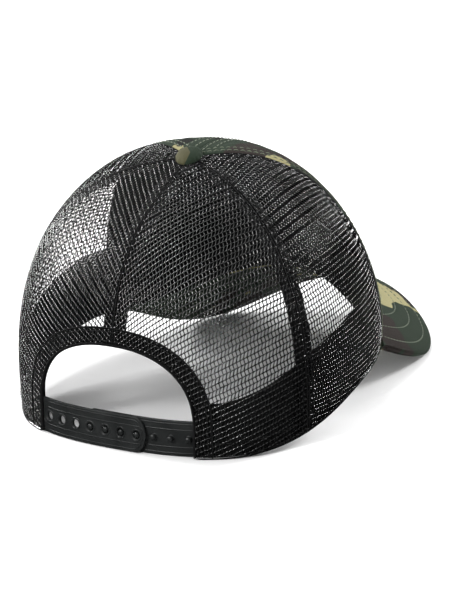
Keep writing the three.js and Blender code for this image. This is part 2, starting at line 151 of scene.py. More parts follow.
def rim_height(angle):
    share = (1 + np.cos(angle)) / 2
    side = smooth((share - SIDE_RISE_START) / (SIDE_RISE_END - SIDE_RISE_START))
    front = np.maximum(0, (share - FRONT_ARCH_START) / (1 - FRONT_ARCH_START))
    return SIDE_RISE * side + FRONT_ARCH * front**FRONT_ARCH_SHARPNESS


def crown_point(angle, rise):
    """The crown's outer surface: angle round from the front, rise 0 at the rim and 1 at the apex."""
    angle, rise = np.broadcast_arrays(np.asarray(angle, float), np.asarray(rise, float))
    up = np.array([0.0, 0.0, 1.0])
    outward = np.stack([np.sin(angle), np.cos(angle), 0 * angle], -1)
    rim = outward * rim_radius(angle)[..., None] + up * rim_height(angle)[..., None]
    from_apex = unit((rim - APEX) * [1, 1, 0])
    lean, slope = around(angle, RIM_LEAN)[..., None], around(angle, APEX_SLOPE)[..., None]
    lower = rim + around(angle, RIM_PULL)[..., None] * (np.sin(lean) * outward + np.cos(lean) * up)
    upper = APEX + around(angle, APEX_PULL)[..., None] * (np.cos(slope) * from_apex + np.sin(slope) * up)
    t = rise[..., None]
    return (1 - t) ** 3 * rim + 3 * (1 - t) ** 2 * t * lower + 3 * (1 - t) * t * t * upper + t**3 * APEX


def crown_frame(angle, rise):
    """Point, outward normal, and the derivatives along the angle and the rise."""
    step = 0.002
    across = (crown_point(angle + step, rise) - crown_point(angle - step, rise)) / (2 * step)
    along = (crown_point(angle, rise + step) - crown_point(angle, rise - step)) / (2 * step)
    return crown_point(angle, rise), unit(np.cross(along, across)), across, along


def crown_skin(angle, rise):
    """Point and outward normal."""
    return crown_frame(angle, rise)[:2]


def crown_layer(angle, rise, depth):
    """Points at a depth in millimetres under the crown's outer surface."""
    point, normal = crown_skin(angle, rise)
    return point - normal * np.asarray(depth, float)[..., None]


def solve(rising, target, low, high):
    """Where a rising function reaches the target, by halving the range from low to high."""
    low, high = np.broadcast_arrays(np.asarray(low, float), np.asarray(high, float))
    low, high = low.copy(), high.copy()
    for _ in range(HALVINGS):
        middle = (low + high) / 2
        below = rising(middle) < target
        low, high = np.where(below, middle, low), np.where(below, high, middle)
    return (low + high) / 2


def rise_near_apex(angle, distance):
    """The rise on the upper half of the crown that is a distance from the apex, seen from above."""
    angle = np.asarray(angle, float)

    def nearness(rise):
        return -np.linalg.norm((crown_point(angle, rise) - APEX)[..., :2], axis=-1)

    return solve(nearness, -distance, np.full(angle.shape, 0.5), 1.0)


def rise_at_length(angle, length):
    """The rise that is a straight length from the rim."""
    angle = np.asarray(angle, float)

    def far(rise):
        return np.linalg.norm(crown_point(angle, rise) - crown_point(angle, 0 * angle), axis=-1)

    return solve(far, length, np.zeros(angle.shape), 0.6)


def rise_at_height(angle, height):
    angle = np.asarray(angle, float)

    def high(rise):
        return crown_point(angle, rise)[..., 2]

    return solve(high, height, np.zeros(angle.shape), 0.6)


def reach(angle, rise):
    """Millimetres round the crown for one radian."""
    return np.linalg.norm(crown_frame(angle, rise)[2], axis=-1)


def back_place(x, z):
    """The angle and rise where the back of the crown has this x and z."""
    x, z = np.broadcast_arrays(np.asarray(x, float), np.asarray(z, float))
    angle = CENTRE_BACK - x / BACK_LENGTH
    rise = z / 180.0 + 0 * x
    for _ in range(12):
        point, _, across, along = crown_frame(angle, rise)
        miss_x, miss_z = x - point[..., 0], z - point[..., 2]
        det = across[..., 0] * along[..., 2] - along[..., 0] * across[..., 2]
        angle = angle + (miss_x * along[..., 2] - along[..., 0] * miss_z) / det
        rise = rise + (across[..., 0] * miss_z - miss_x * across[..., 2]) / det
    return angle, rise


# ------------------------------------------------------------------ mesh building


def make_object(name, vertices, faces, material, body="cap", slot=None, smooth_angle=40):
    mesh = bpy.data.meshes.new(name)
    mesh.from_pydata(np.asarray(vertices, float).tolist(), [], faces)
    mesh.materials.append(material)
    made = add_to_scene(name, mesh)
    tidy_normals(made, smooth_angle)
    if body:
        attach(made, body)
    return made


def tidy_normals(made, smooth_angle):
    work = bmesh.new()
    work.from_mesh(made.data)
    bmesh.ops.recalc_face_normals(work, faces=work.faces)
    work.to_mesh(made.data)
    work.free()
    made.data.shade_smooth()
    if smooth_angle is not None:
        made.data.set_sharp_from_angle(angle=math.radians(smooth_angle))


class Shell:
    """Gathers closed shells of quads and joins them into one mesh."""

    def __init__(self):
        self.vertices, self.faces, self.count = [], [], 0

    def add(self, vertices, faces):
        self.vertices.append(np.asarray(vertices, float).reshape(-1, 3))
        self.faces.extend((np.asarray(faces) + self.count).tolist())
        self.count += len(self.vertices[-1])

    def object(self, name, material, **options):
        return make_object(name, to_frame(np.concatenate(self.vertices)), self.faces, material, **options)


def slab(outer, inner):
    """A closed body between two grids of points."""
    rows, columns = outer.shape[:2]
    index = np.arange(rows * columns).reshape(rows, columns)
    size = rows * columns
    grid = np.stack([index[:-1, :-1], index[1:, :-1], index[1:, 1:], index[:-1, 1:]], -1).reshape(-1, 4)
    rim = np.concatenate([index[:-1, 0], index[-1, :-1], index[:0:-1, -1], index[0, :0:-1]])
    after = np.roll(rim, -1)
    sides = np.stack([rim, rim + size, after + size, after], -1)
    faces = np.concatenate([grid, grid[:, ::-1] + size, sides])
    shell = Shell()
    shell.add(np.concatenate([outer.reshape(-1, 3), inner.reshape(-1, 3)]), faces)
    return shell


def tubes(shell, paths, normals, width, height, sides=4, turn=0.0):
    """Closed tubes along paths[k, m], flattened to width by height against the normals."""
    paths, normals = np.asarray(paths, float), np.asarray(normals, float)
    many, length = paths.shape[:2]
    along = np.gradient(paths, axis=1)
    along /= np.linalg.norm(along, axis=-1, keepdims=True) + 1e-12
    aside = np.cross(along, normals)
    aside /= np.linalg.norm(aside, axis=-1, keepdims=True) + 1e-12
    out = np.cross(aside, along)
    angles = turn + np.arange(sides) * 2 * np.pi / sides
    width = np.broadcast_to(np.asarray(width, float), (many, length))[..., None, None]
    height = np.broadcast_to(np.asarray(height, float), (many, length))[..., None, None]
    ring = (
        paths[:, :, None]
        + width / 2 * np.cos(angles)[:, None] * aside[:, :, None]
        + height / 2 * np.sin(angles)[:, None] * out[:, :, None]
    )
    index = np.arange(many * length * sides).reshape(many, length, sides)
    near, far = index[:, :-1], index[:, 1:]
    walls = np.stack([near, np.roll(near, -1, -1), np.roll(far, -1, -1), far], -1).reshape(-1, 4)
    shell.add(ring, walls)
    for cap in (index[:, 0, ::-1], index[:, -1]):
        shell.faces.extend((cap + shell.count - many * length * sides).tolist())


def tube(shell, path, normal, width, height, sides=8):
    tubes(shell, np.asarray(path)[None], np.asarray(normal)[None], width, height, sides)


STITCH_SINK = 0.1


def stitches(shell, path, normal, length=2.6, gap=0.9, width=0.55, height=0.42):
    """A row of separate stitches along a path: short rounded threads that dive at both ends."""
    path, normal = np.asarray(path, float), np.asarray(normal, float)
    far = travelled(path)
    starts = np.arange(gap / 2, far[-1] - length, length + gap)
    if not len(starts):
        return
    steps = np.linspace(0, 1, 5)
    where = starts[:, None] + steps * length

    def sample(values):
        return np.stack([np.interp(where, far, values[:, axis]) for axis in range(3)], -1)

    points, normals = sample(path), unit(sample(normal))
    bow = np.sin(steps * np.pi) ** 0.6
    points = points + normals * ((bow - 1) * height + height / 2 - STITCH_SINK)[None, :, None]
    taper = 0.45 + 0.55 * bow
    tubes(shell, points, normals, width * taper, height * taper, sides=6)


# ------------------------------------------------------------------ materials


def new_material(name, color, roughness, **sockets):
    material = bpy.data.materials.new(name)
    material.use_nodes = True
    shader = material.node_tree.nodes["Principled BSDF"]
    shader.inputs["Base Color"].default_value = (*color, 1)
    shader.inputs["Roughness"].default_value = roughness
    for socket, value in sockets.items():
        shader.inputs[socket.replace("_", " ")].default_value = value
    return material, Graph(material)


def scaled(values, factor, lift=0.0):
    return tuple(factor * value + lift for value in values)


class Graph:
    """Short ways to add shader nodes; a value is a number, a tuple or another node's output."""

    def __init__(self, material):
        self.tree = material.node_tree
        self.shader = self.tree.nodes["Principled BSDF"]

    def node(self, kind, *values, output=0, **settings):
        made = self.tree.nodes.new("ShaderNode" + kind)
        for key, value in settings.items():
            setattr(made, key, value)
        for socket, value in zip(made.inputs, values):
            self.give(socket, value)
        return made.outputs[output]

    def give(self, socket, value):
        if isinstance(value, bpy.types.NodeSocket):
            self.tree.links.new(value, socket)
        elif value is not None:
            socket.default_value = value

    def math(self, operation, *values):
        return self.node("Math", *values, operation=operation)

    def mix(self, share, first, second):
        made = self.tree.nodes.new("ShaderNodeMix")
        made.data_type = "RGBA"
        self.give(made.inputs["Factor"], share)
        for socket, value in ((made.inputs[6], first), (made.inputs[7], second)):
            self.give(socket, (*value, 1) if isinstance(value, tuple) and len(value) == 3 else value)
        return made.outputs[2]

    def noise(self, place, scale, detail=2.0, roughness=0.5, distortion=0.0):
        made = self.tree.nodes.new("ShaderNodeTexNoise")
        self.give(made.inputs["Vector"], place)
        settings = {"Scale": scale, "Detail": detail, "Roughness": roughness, "Distortion": distortion}
        for socket, value in settings.items():
            made.inputs[socket].default_value = value
        return made.outputs[0]

    def ramp(self, value, low, high, start=0.0, end=1.0):
        return self.node("MapRange", value, low, high, start, end)

    def object_place(self):
        return self.node("TexCoord", output=3)

    def cloth_place(self):
        """The place on the flat cloth in millimetres, stored on the mesh."""
        return self.node("Attribute", output=1, attribute_name="cloth")

    def ribs(self, place, direction, pitch):
        """Even ribs across a direction, from 0 in the grooves to 1 on top."""
        turns = 2 * math.pi / pitch
        along = self.node("VectorMath", place, scaled(direction, turns), operation="DOT_PRODUCT", output=1)
        return self.math("MULTIPLY_ADD", self.math("SINE", along), 0.5, 0.5)

    def bump(self, height, distance, strength=1.0):
        made = self.tree.nodes.new("ShaderNodeBump")
        made.inputs["Strength"].default_value = strength
        made.inputs["Distance"].default_value = distance
        self.give(made.inputs["Height"], height)
        self.give(self.shader.inputs["Normal"], made.outputs[0])

    def color(self, value):
        self.give(self.shader.inputs["Base Color"], value)

    def roughness(self, value):
        self.give(self.shader.inputs["Roughness"], value)


def rgb(red, green, blue):
    """A colour given as on a colour card, 0 to 255, as linear light."""
    card = (red / 255, green / 255, blue / 255)
    return tuple(((c + 0.055) / 1.055) ** 2.4 if c > 0.04045 else c / 12.92 for c in card)


TWILL_DIRECTION = (0.78, 0.62, 0.0)
PRINT_EDGE = 0.006
PRINT_GREEN = rgb(39, 52, 39)
PRINT_BROWN = rgb(46, 38, 35)
PRINT_KHAKI = rgb(160, 154, 113)
PRINT_BLACK = rgb(18, 20, 18)

# Where the print is steered: a point in pattern millimetres, how far it reaches in millimetres,
# and how strongly it calls a patch up (above 0) or keeps it away (below 0).
PRINT_STEERING = {
    "brown": [
        ((27, 14, 134.5), 16, 0.55), ((77, 60, 25), 15, 0.5), ((6, 8, 136), 15, -0.3),
        ((62, 112, 14), 38, -0.3), ((0, -4, 137), 9, -0.6),
    ],
    "khaki": [
        ((41, 19, 130.5), 10, 0.6), ((-13, 4, 135.5), 5, 0.4), ((34, 128, 27), 21, 0.7),
        ((46, 108, 28), 17, 0.7), ((-4.5, -9, 136), 8, 0.7), ((4, 0, 138), 7, -0.7),
        ((12, 10, 136), 14, -0.3), ((66, 108, 12), 32, -0.5), ((82, 68, 20), 12, -0.6),
    ],
    "black": [
        ((51, 28, 122), 9, 0.4), ((61, 33, 112), 14, 0.4), ((72, 37, 97), 14, 0.4),
        ((80, 41, 80), 15, 0.4), ((85, 44, 60), 15, 0.4), ((86, 45, 42), 15, 0.4),
        ((62, 112, 14), 40, -0.3), ((10, 9, 136), 22, -0.4), ((0, -4, 137), 9, -0.6),
        ((40, 19, 131), 10, -0.5), ((38, 124, 27), 24, -0.5), ((30, 14, 134), 12, -0.4),
    ],
}


def camouflage(name, shift=(0.0, 0.0, 0.0), khaki=PRINT_KHAKI):
    """Cotton twill printed with patches of three colours on green, with painted shade in the weave's grooves.
    """
    sockets = {"Sheen_Weight": 0.03, "Sheen_Roughness": 0.5, "Specular_IOR_Level": 0.2}
    material, graph = new_material(name, PRINT_GREEN, 0.85, **sockets)
    graph.shader.inputs["Sheen Tint"].default_value = (0.85, 0.9, 0.82, 1)
    place = graph.object_place()
    cloth = graph.cloth_place()

    def patches(kind, scale, threshold, offset):
        moved = graph.node("VectorMath", place, offset, operation="ADD")
        value = graph.noise(moved, scale, 2.5, 0.45, 0.6)
        for centre, reach_mm, strength in PRINT_STEERING[kind]:
            spot = tuple(to_frame(np.array(centre, float)))
            away = graph.node("VectorMath", place, spot, operation="DISTANCE", output=1)
            value = graph.math("ADD", value, graph.ramp(away, 0.0, reach_mm * MM, strength, 0.0))
        return graph.ramp(value, threshold - PRINT_EDGE, threshold + PRINT_EDGE)

    def shifted(*amounts):
        return tuple(a + b for a, b in zip(shift, amounts))

    tint = graph.noise(place, 55.0, 3.0, 0.6)
    green = graph.mix(tint, scaled(PRINT_GREEN, 0.86), scaled(PRINT_GREEN, 1.16))
    look = graph.mix(patches("brown", 27.0, 0.56, shifted(0.13, 0.02, 0.31)), green, PRINT_BROWN)
    look = graph.mix(patches("khaki", 31.0, 0.615, shifted(0.71, 0.44, 0.09)), look, khaki)
    look = graph.mix(patches("black", 38.0, 0.61, shifted(0.27, 0.93, 0.55)), look, PRINT_BLACK)
    ribs = graph.ribs(cloth, TWILL_DIRECTION, 0.62)
    across = graph.ribs(cloth, (0.62, -0.78, 0.0), 0.41)
    fibre = graph.noise(cloth, 2.4, 3.0, 0.7)
    weave = graph.math("MULTIPLY_ADD", across, 0.35, graph.math("MULTIPLY_ADD", fibre, 0.5, ribs))
    # Painted shade: the weave's grooves are mixed towards near black, as if shade falls in them.
    dark = graph.mix(graph.ramp(weave, 0.2, 1.5, 0.3, 0.0), look, (0.004, 0.005, 0.004))
    pale = graph.mix(graph.ramp(fibre, 0.58, 0.8, 0.0, 0.1), dark, rgb(120, 122, 108))
    graph.color(pale)
    graph.roughness(graph.ramp(weave, 0.2, 1.6, 0.92, 0.72))
    graph.bump(weave, 0.12 * MM, 0.8)
    return material


def woven(name, color, roughness, rib, pitch, sheen=0.15, lift=0.1):
    """A plain dark cloth with crossing ribs, painted shade in their grooves and a painted highlight on their
    tops, and stray paler fibres.
    """
    material, graph = new_material(name, color, roughness, Sheen_Weight=sheen, Sheen_Roughness=0.45)
    cloth = graph.cloth_place()
    weft = graph.ribs(cloth, (-rib[1], rib[0], 0.0), pitch * 1.1)
    ribs = graph.math("MULTIPLY", graph.ribs(cloth, rib, pitch), weft)
    fibre = graph.noise(cloth, 2.0, 4.0, 0.7)
    patchy = graph.noise(cloth, 0.08, 3.0, 0.6)
    # Painted shade and highlight: the ribs' grooves are painted darker and their tops paler.
    look = graph.mix(graph.ramp(ribs, 0.1, 0.9, 0.0, 0.7), scaled(color, 0.45), scaled(color, 2.0, 0.003))
    look = graph.mix(graph.ramp(patchy, 0.4, 0.7, 0.0, 0.25), look, scaled(color, 1.6))
    graph.color(graph.mix(graph.ramp(fibre, 0.62, 0.78, 0.0, 0.3), look, scaled(color, 4, 0.012)))
    graph.bump(graph.math("MULTIPLY_ADD", fibre, 0.4, ribs), lift * MM, 0.8)
    graph.roughness(graph.ramp(fibre, 0.3, 0.8, roughness - 0.06, min(1.0, roughness + 0.06)))
    return material


def threads(name, color, roughness, twist=1.1, sheen=0.1, specular=0.5, ior=1.5):
    """Polyester or cotton thread, with fine variation along its length."""
    sockets = {"Sheen_Weight": sheen, "Sheen_Roughness": 0.4, "Specular_IOR_Level": specular, "IOR": ior}
    material, graph = new_material(name, color, roughness, **sockets)
    place = graph.object_place()
    fine = graph.noise(place, 1000.0 / twist, 2.0, 0.6)
    broad = graph.noise(place, 45.0, 3.0, 0.6)
    look = graph.mix(graph.ramp(fine, 0.3, 0.75), scaled(color, 0.55), scaled(color, 1.5, 0.002))
    graph.color(graph.mix(graph.ramp(broad, 0.35, 0.7, 0.0, 0.4), look, scaled(color, 1.9, 0.004)))
    graph.roughness(graph.ramp(broad, 0.3, 0.7, roughness - 0.07, roughness + 0.09))
    graph.bump(fine, 0.06 * MM, 0.5)
    return material


def moulded(name, color, roughness):
    """Satin moulded plastic with a faint grain, flow marks and rubbed edges."""
    material, graph = new_material(name, color, roughness)
    place = graph.object_place()
    grain = graph.noise(place, 2600.0, 3.0, 0.6)
    flow = graph.noise(place, 60.0, 4.0, 0.55, 1.2)
    scuff = graph.noise(place, 420.0, 4.0, 0.7)
    look = graph.mix(graph.ramp(flow, 0.35, 0.7), scaled(color, 0.85), scaled(color, 1.22))
    graph.color(graph.mix(graph.ramp(scuff, 0.63, 0.75, 0.0, 0.25), look, scaled(color, 2.4, 0.01)))
    uneven = graph.math("ADD", flow, graph.math("MULTIPLY", grain, 0.4))
    graph.roughness(graph.ramp(uneven, 0.45, 1.0, roughness - 0.07, roughness + 0.12))
    graph.bump(grain, 0.03 * MM, 0.35)
    return material


def satin_metal(name, color, roughness):
    """Satin metal, a little darker and rougher in places."""
    material, graph = new_material(name, color, roughness, Metallic=1.0)
    place = graph.object_place()
    fine = graph.noise(place, 1800.0, 3.0, 0.7)
    broad = graph.noise(place, 220.0, 3.0, 0.6)
    graph.color(graph.mix(graph.ramp(broad, 0.4, 0.7), color, scaled(color, 0.6)))
    graph.roughness(graph.ramp(fine, 0.3, 0.7, roughness - 0.1, roughness + 0.15))
    graph.bump(fine, 0.02 * MM, 0.4)
    return material


NET = threads("net_polyester", (0.004, 0.004, 0.0042), 0.14, 0.6, 0.0, 1.0, 1.75)
SEAM_THREAD = threads("black_thread", (0.004, 0.004, 0.0042), 0.6, 1.1, 0.0, 0.3)
TURNED_EDGE = threads("turned_edge", (0.003, 0.003, 0.0032), 0.8, 0.9, 0.0, 0.15)
PRINT_THREAD = threads("green_thread", rgb(98, 108, 88), 0.5)
TAPE_CLOTH = woven("seam_tape_weave", (0.004, 0.004, 0.0042), 0.85, (1.0, 0.0, 0.0), 0.7, 0.04)
BUCKRAM = woven("buckram_weave", (0.006, 0.006, 0.006), 0.9, (0.71, 0.71, 0.0), 1.3, 0.04, 0.2)
BAND_CLOTH = woven("sweatband_twill", (0.005, 0.005, 0.0052), 0.9, (0.78, 0.62, 0.0), 0.6, 0.08)
SNAP = moulded("snap_plastic_satin", rgb(30, 32, 32), 0.36)
RIVET = satin_metal("rivet_satin_metal", (0.56, 0.56, 0.57), 0.38)
FRONT_PRINT = {
    "left": camouflage("camouflage_front_left", (0.3, 0.1, 0.2)),
    "right": camouflage("camouflage_front_right"),
}
PEAK_PRINT = camouflage("camouflage_peak", (0.05, 0.4, 0.13))
# The button's khaki patches are a darker copy of the print's khaki: painted shade for the button's side that
# faces away from the light.
BUTTON_PRINT_SHADED_KHAKI = camouflage("camouflage_button_shaded_khaki", (0.6, 0.1, 0.4), khaki=rgb(82, 80, 57))


def set_cloth(made, places):
    """Stores each vertex's place on the flat cloth, in millimetres."""
    flat = np.zeros((len(made.data.vertices), 3))
    flat[:, :2] = np.asarray(places, float).reshape(-1, 2)
    attribute = made.data.attributes.new("cloth", "FLOAT_VECTOR", "POINT")
    attribute.data.foreach_set("vector", flat.astype(np.float32).ravel())


def grid_places(grid):
    """Millimetres along the columns and the rows of a grid of points, from its middle."""
    across = np.zeros(grid.shape[:2])
    across[:, 1:] = np.cumsum(np.linalg.norm(np.diff(grid, axis=1), axis=-1), axis=1)
    across -= across[:, -1:] / 2
    along = np.zeros(grid.shape[:2])
    along[1:] = np.cumsum(np.linalg.norm(np.diff(grid, axis=0), axis=-1), axis=0)
    along = along.mean(axis=1, keepdims=True) + 0 * across
    return np.stack([across, along], -1)


def cloth_slab(name, outer, inner, material, **options):
    """A slab whose two faces know their place on the flat cloth, for the weave."""
    made = slab(outer, inner).object(name, material, **options)
    places = grid_places(outer)
    set_cloth(made, np.concatenate([places.reshape(-1, 2), places.reshape(-1, 2)]))
    return made


# ------------------------------------------------------------------ crown panels


def spread(low, high, spacing, edges):
    """Places from low to high: close together at the ends, as listed in edges, then about spacing apart."""
    edges = np.asarray(edges)
    count = round((high - low - 2 * edges[-1]) / spacing) + 1
    inner = np.linspace(low + edges[-1], high - edges[-1], max(2, count))
    return np.concatenate([low + edges[:-1], inner, (high - edges[:-1])[::-1]])


ROLL, ROLL_DROP = 1.3, 0.75
ROLL_EDGES = [0.0, 0.15, 0.45, 0.85, ROLL, 2.0]
PANEL_HEIGHT = 190.0
SEAM_HALF_GAP = 0.0035
TOPSTITCH_OFFSETS = (3.2, 7.8)
LINING_DEPTH, LINING_THICKNESS = 1.4, 0.8


def rolled(distance):
    """How far an outer surface falls towards an edge it is turned in at."""
    inside = np.clip(distance / ROLL, 0, 1)
    return ROLL_DROP * (1 - np.sqrt(np.clip(1 - (1 - inside) ** 2, 0, 1)))


def sector(low, high, bottom, apex_radius, spacing=3.0):
    """Angles and rises of a panel between two seams, with rows and columns close together at its edges."""
    middle = (low + high) / 2
    width = reach(np.array(middle), np.array(0.05)) * (high - low)
    share = spread(0.0, 1.0, spacing / width, np.array(ROLL_EDGES) / width)
    rows = spread(0.0, 1.0, spacing / PANEL_HEIGHT, np.array(ROLL_EDGES) / PANEL_HEIGHT)
    across, up = np.meshgrid(share, rows)
    angle = low + (high - low) * across
    start = bottom(angle)
    rise = start + (rise_near_apex(angle, apex_radius) - start) * up
    # Near the apex the panel narrows, so the edge columns keep their distance in millimetres.
    far = np.minimum(across, 1 - across) * reach(angle, rise) * (high - low)
    edge_distance = np.minimum(far, np.minimum(up, 1 - up) * PANEL_HEIGHT)
    return angle, rise, far, edge_distance


def front_topstitch(sign):
    """Rows of stitches inside both seams of a front panel."""
    shell = Shell()
    middle = sign * FRONT_SEAM / 2
    rises = np.linspace(rise_at_length(np.array(middle), 3.0), 0.985, 160)
    for seam, inward in ((0.0, 1), (FRONT_SEAM, -1)):
        for offset in TOPSTITCH_OFFSETS:
            turn = sign * (seam + inward * offset / reach(np.full(160, sign * seam), rises))
            keep = np.abs(turn - middle) < FRONT_SEAM / 2 - 1.2 / reach(turn, rises)
            if keep.sum() > 4:
                point, normal = crown_skin(turn[keep], rises[keep])
                stitches(shell, point + normal * 0.12, normal)
    return shell


def build_front_panels():
    for side, sign in SIDES:
        low, high = sorted((sign * SEAM_HALF_GAP, sign * (FRONT_SEAM - SEAM_HALF_GAP)))
        angle, rise, far, edge_distance = sector(low, high, lambda a: rise_at_length(a, 0.2), 3.0)
        puff = 0.35 * (1 - np.exp(-far / 6.0)) + 0.12 * np.sin(rise * 37 + sign) * np.sin(angle * 23)
        drop = rolled(edge_distance)
        outer = crown_layer(angle, rise, 0.25 - puff + drop)
        inner = crown_layer(angle, rise, 1.05 + 0 * drop)
        piece = cloth_slab(f"front_cloth_{side}", outer, inner, FRONT_PRINT[side], slot="camouflage_twill")
        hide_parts(f"front_panel_{side}")

        front_topstitch(sign).object(f"front_topstitch_{side}", PRINT_THREAD, slot="camouflage_twill")

        angle, rise, *_ = sector(low, high, lambda a: rise_at_length(a, 1.5), 6.0)
        outer = crown_layer(angle, rise, LINING_DEPTH)
        inner = crown_layer(angle, rise, LINING_DEPTH + LINING_THICKNESS)
        lining = cloth_slab(f"lining_cloth_{side}", outer, inner, BUCKRAM, slot="buckram")
        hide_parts(f"front_lining_{side}")


# ------------------------------------------------------------------ net


def arch_clearance(x, z):
    """Millimetres outside the rear opening's outline, negative inside it."""
    side = np.abs(x) / ARCH_HALF_WIDTH
    up = np.maximum(z - ARCH_SPRING, 0) / (ARCH_TOP - ARCH_SPRING)
    size = (side**ARCH_ROUNDNESS + up**ARCH_ROUNDNESS) ** (1 / ARCH_ROUNDNESS)
    return (size - 1) * np.hypot(x, np.maximum(z - ARCH_SPRING, 0)) / np.maximum(size, 1e-6)


class NetPanel:
    """A net panel of the right-hand side; the left one is its mirror image.

    Its rows are cut by planes across the panel's middle line, each tilted as the grain says. A row is
    kept as points one step apart, and a knot's place along it is a number of steps.
    """

    STEP = 1.0
    ROW_REACH = 86
    LOWEST_RISE, HIGHEST_RISE = -0.3, 0.999

    def __init__(self, low, high, grain, column_pitch, arched):
        self.low, self.high, self.arched, self.column_pitch = low, high, arched, column_pitch
        middle = (low + high) / 2
        table = np.linspace(-0.22, 1.0, 1200)
        spine = crown_point(middle + 0 * table, table)

        def tilt_of(rise):
            return np.radians(np.interp(rise, *zip(*grain)))

        climb = np.linalg.norm(np.diff(spine, axis=0), axis=1) * np.cos(tilt_of(table[1:]))
        length = np.concatenate([[0], np.cumsum(climb)])
        starts = np.interp(np.arange(0.6, length[-1] - 4, NET_ROW_PITCH), length, table)
        self.rows = len(starts)
        angle = np.full(self.rows, middle)
        centre, _, across, along = crown_frame(angle, starts)
        tilt = tilt_of(starts)[:, None]
        plane = np.cos(tilt) * unit(along) + np.sin(tilt) * unit(across)
        halves = [self.march(angle, starts, centre, plane, turn) for turn in (-1, 1)]
        place = np.concatenate([halves[0][:, :0:-1], halves[1]], axis=1)
        self.angle, self.rise = place[..., 0], place[..., 1]
        self.columns = place.shape[1]
        self.point, self.normal = crown_skin(self.angle, self.rise)
        self.clear = self.clearance()

    def march(self, angle, rise, centre, plane, turn):
        """Walks along each row's section plane in equal steps."""
        track = [np.stack([angle, rise], -1)]
        last = crown_point(angle, rise)
        move = np.array([turn * self.STEP / HALF_WIDTH, 0.0]) + 0 * track[0]
        for _ in range(int(self.ROW_REACH / self.STEP)):
            place = track[-1] + move
            for _ in range(3):
                point, _, across, along = crown_frame(place[:, 0], place[:, 1])
                miss_plane = ((point - centre) * plane).sum(-1)
                gap = point - last
                far = np.linalg.norm(gap, axis=-1)
                toward = gap / np.maximum(far, 1e-9)[:, None]
                a, b = (across * plane).sum(-1), (along * plane).sum(-1)
                c, d = (across * toward).sum(-1), (along * toward).sum(-1)
                det = a * d - b * c
                det = np.where(np.abs(det) < 1e-3, 1e-3, det)
                miss_far = far - self.STEP
                shift_angle = (miss_plane * d - b * miss_far) / det
                shift_rise = (a * miss_far - miss_plane * c) / det
                place = place - np.clip(np.stack([shift_angle, shift_rise], -1), -0.05, 0.05)
                place[:, 1] = np.clip(place[:, 1], self.LOWEST_RISE, self.HIGHEST_RISE)
            track.append(place)
            last = crown_point(place[:, 0], place[:, 1])
            move = track[-1] - track[-2]
        return np.stack(track, axis=1)

    def clearance(self):
        """Millimetres inside the panel's edges, negative outside them."""
        angle, rise, point = self.angle, self.rise, self.point
        round_crown = reach(angle, np.clip(rise, 0, 1))
        clear = np.minimum((angle - self.low) * round_crown, (self.high - angle) * round_crown) - 0.35
        clear = np.minimum(clear, rise * 3 * around(angle, RIM_PULL) - 0.8)
        clear = np.minimum(clear, np.linalg.norm((point - APEX)[..., :2], axis=-1) - 4.5)
        if self.arched:
            clear = np.minimum(clear, arch_clearance(point[..., 0], point[..., 2]) - 0.6)
        return clear

    def at(self, row, column):
        """Point, normal and clearance at a fractional column."""
        column = np.clip(column, 0, self.columns - 1.001)
        whole = column.astype(int)
        share = column - whole

        def blend(values, share):
            return values[row, whole] * (1 - share) + values[row, whole + 1] * share

        wide = share[..., None]
        return blend(self.point, wide), blend(self.normal, wide), blend(self.clear, share)

    def cords(self, shell, mirror):
        """The rows: one cord for each stretch of a row inside the panel, thicker at its knots."""
        fine = np.arange(0, self.columns - 1, 0.5)
        for row in range(self.rows):
            _, _, clear = self.at(np.full(fine.shape, row), fine)
            inside = clear > 0
            marks = np.flatnonzero(np.diff(np.concatenate([[0], inside.astype(int), [0]])))
            for first, last in marks.reshape(-1, 2):
                if last - first < 3:
                    continue
                places = fine[first:last]
                ends = []
                for edge, beyond in ((first, first - 1), (last - 1, last)):
                    if 0 <= beyond < len(fine):
                        part = clear[edge] / max(1e-6, clear[edge] - clear[beyond])
                        ends.append(fine[edge] + (fine[beyond] - fine[edge]) * min(1, part))
                    else:
                        ends.append(fine[edge])
                places = np.concatenate([[ends[0]], places[1:-1], [ends[1]]])
                point, normal, _ = self.at(np.full(places.shape, row), places)
                wave = np.cos((places - self.shift(row)) * self.STEP * 2 * np.pi / self.column_pitch)
                width, height, depth = 0.78 + 0.22 * wave, 0.64 + 0.26 * wave, NET_DEPTH - 0.06 * wave
                path = (point - normal * depth[:, None]) * mirror
                tubes(shell, path[None], (normal * mirror)[None], width, height, sides=5, turn=0.3)

    def shift(self, row):
        """How far a row's knots stand along it, in columns."""
        return (0.35 if row % 2 else 0.0) * self.column_pitch / self.STEP

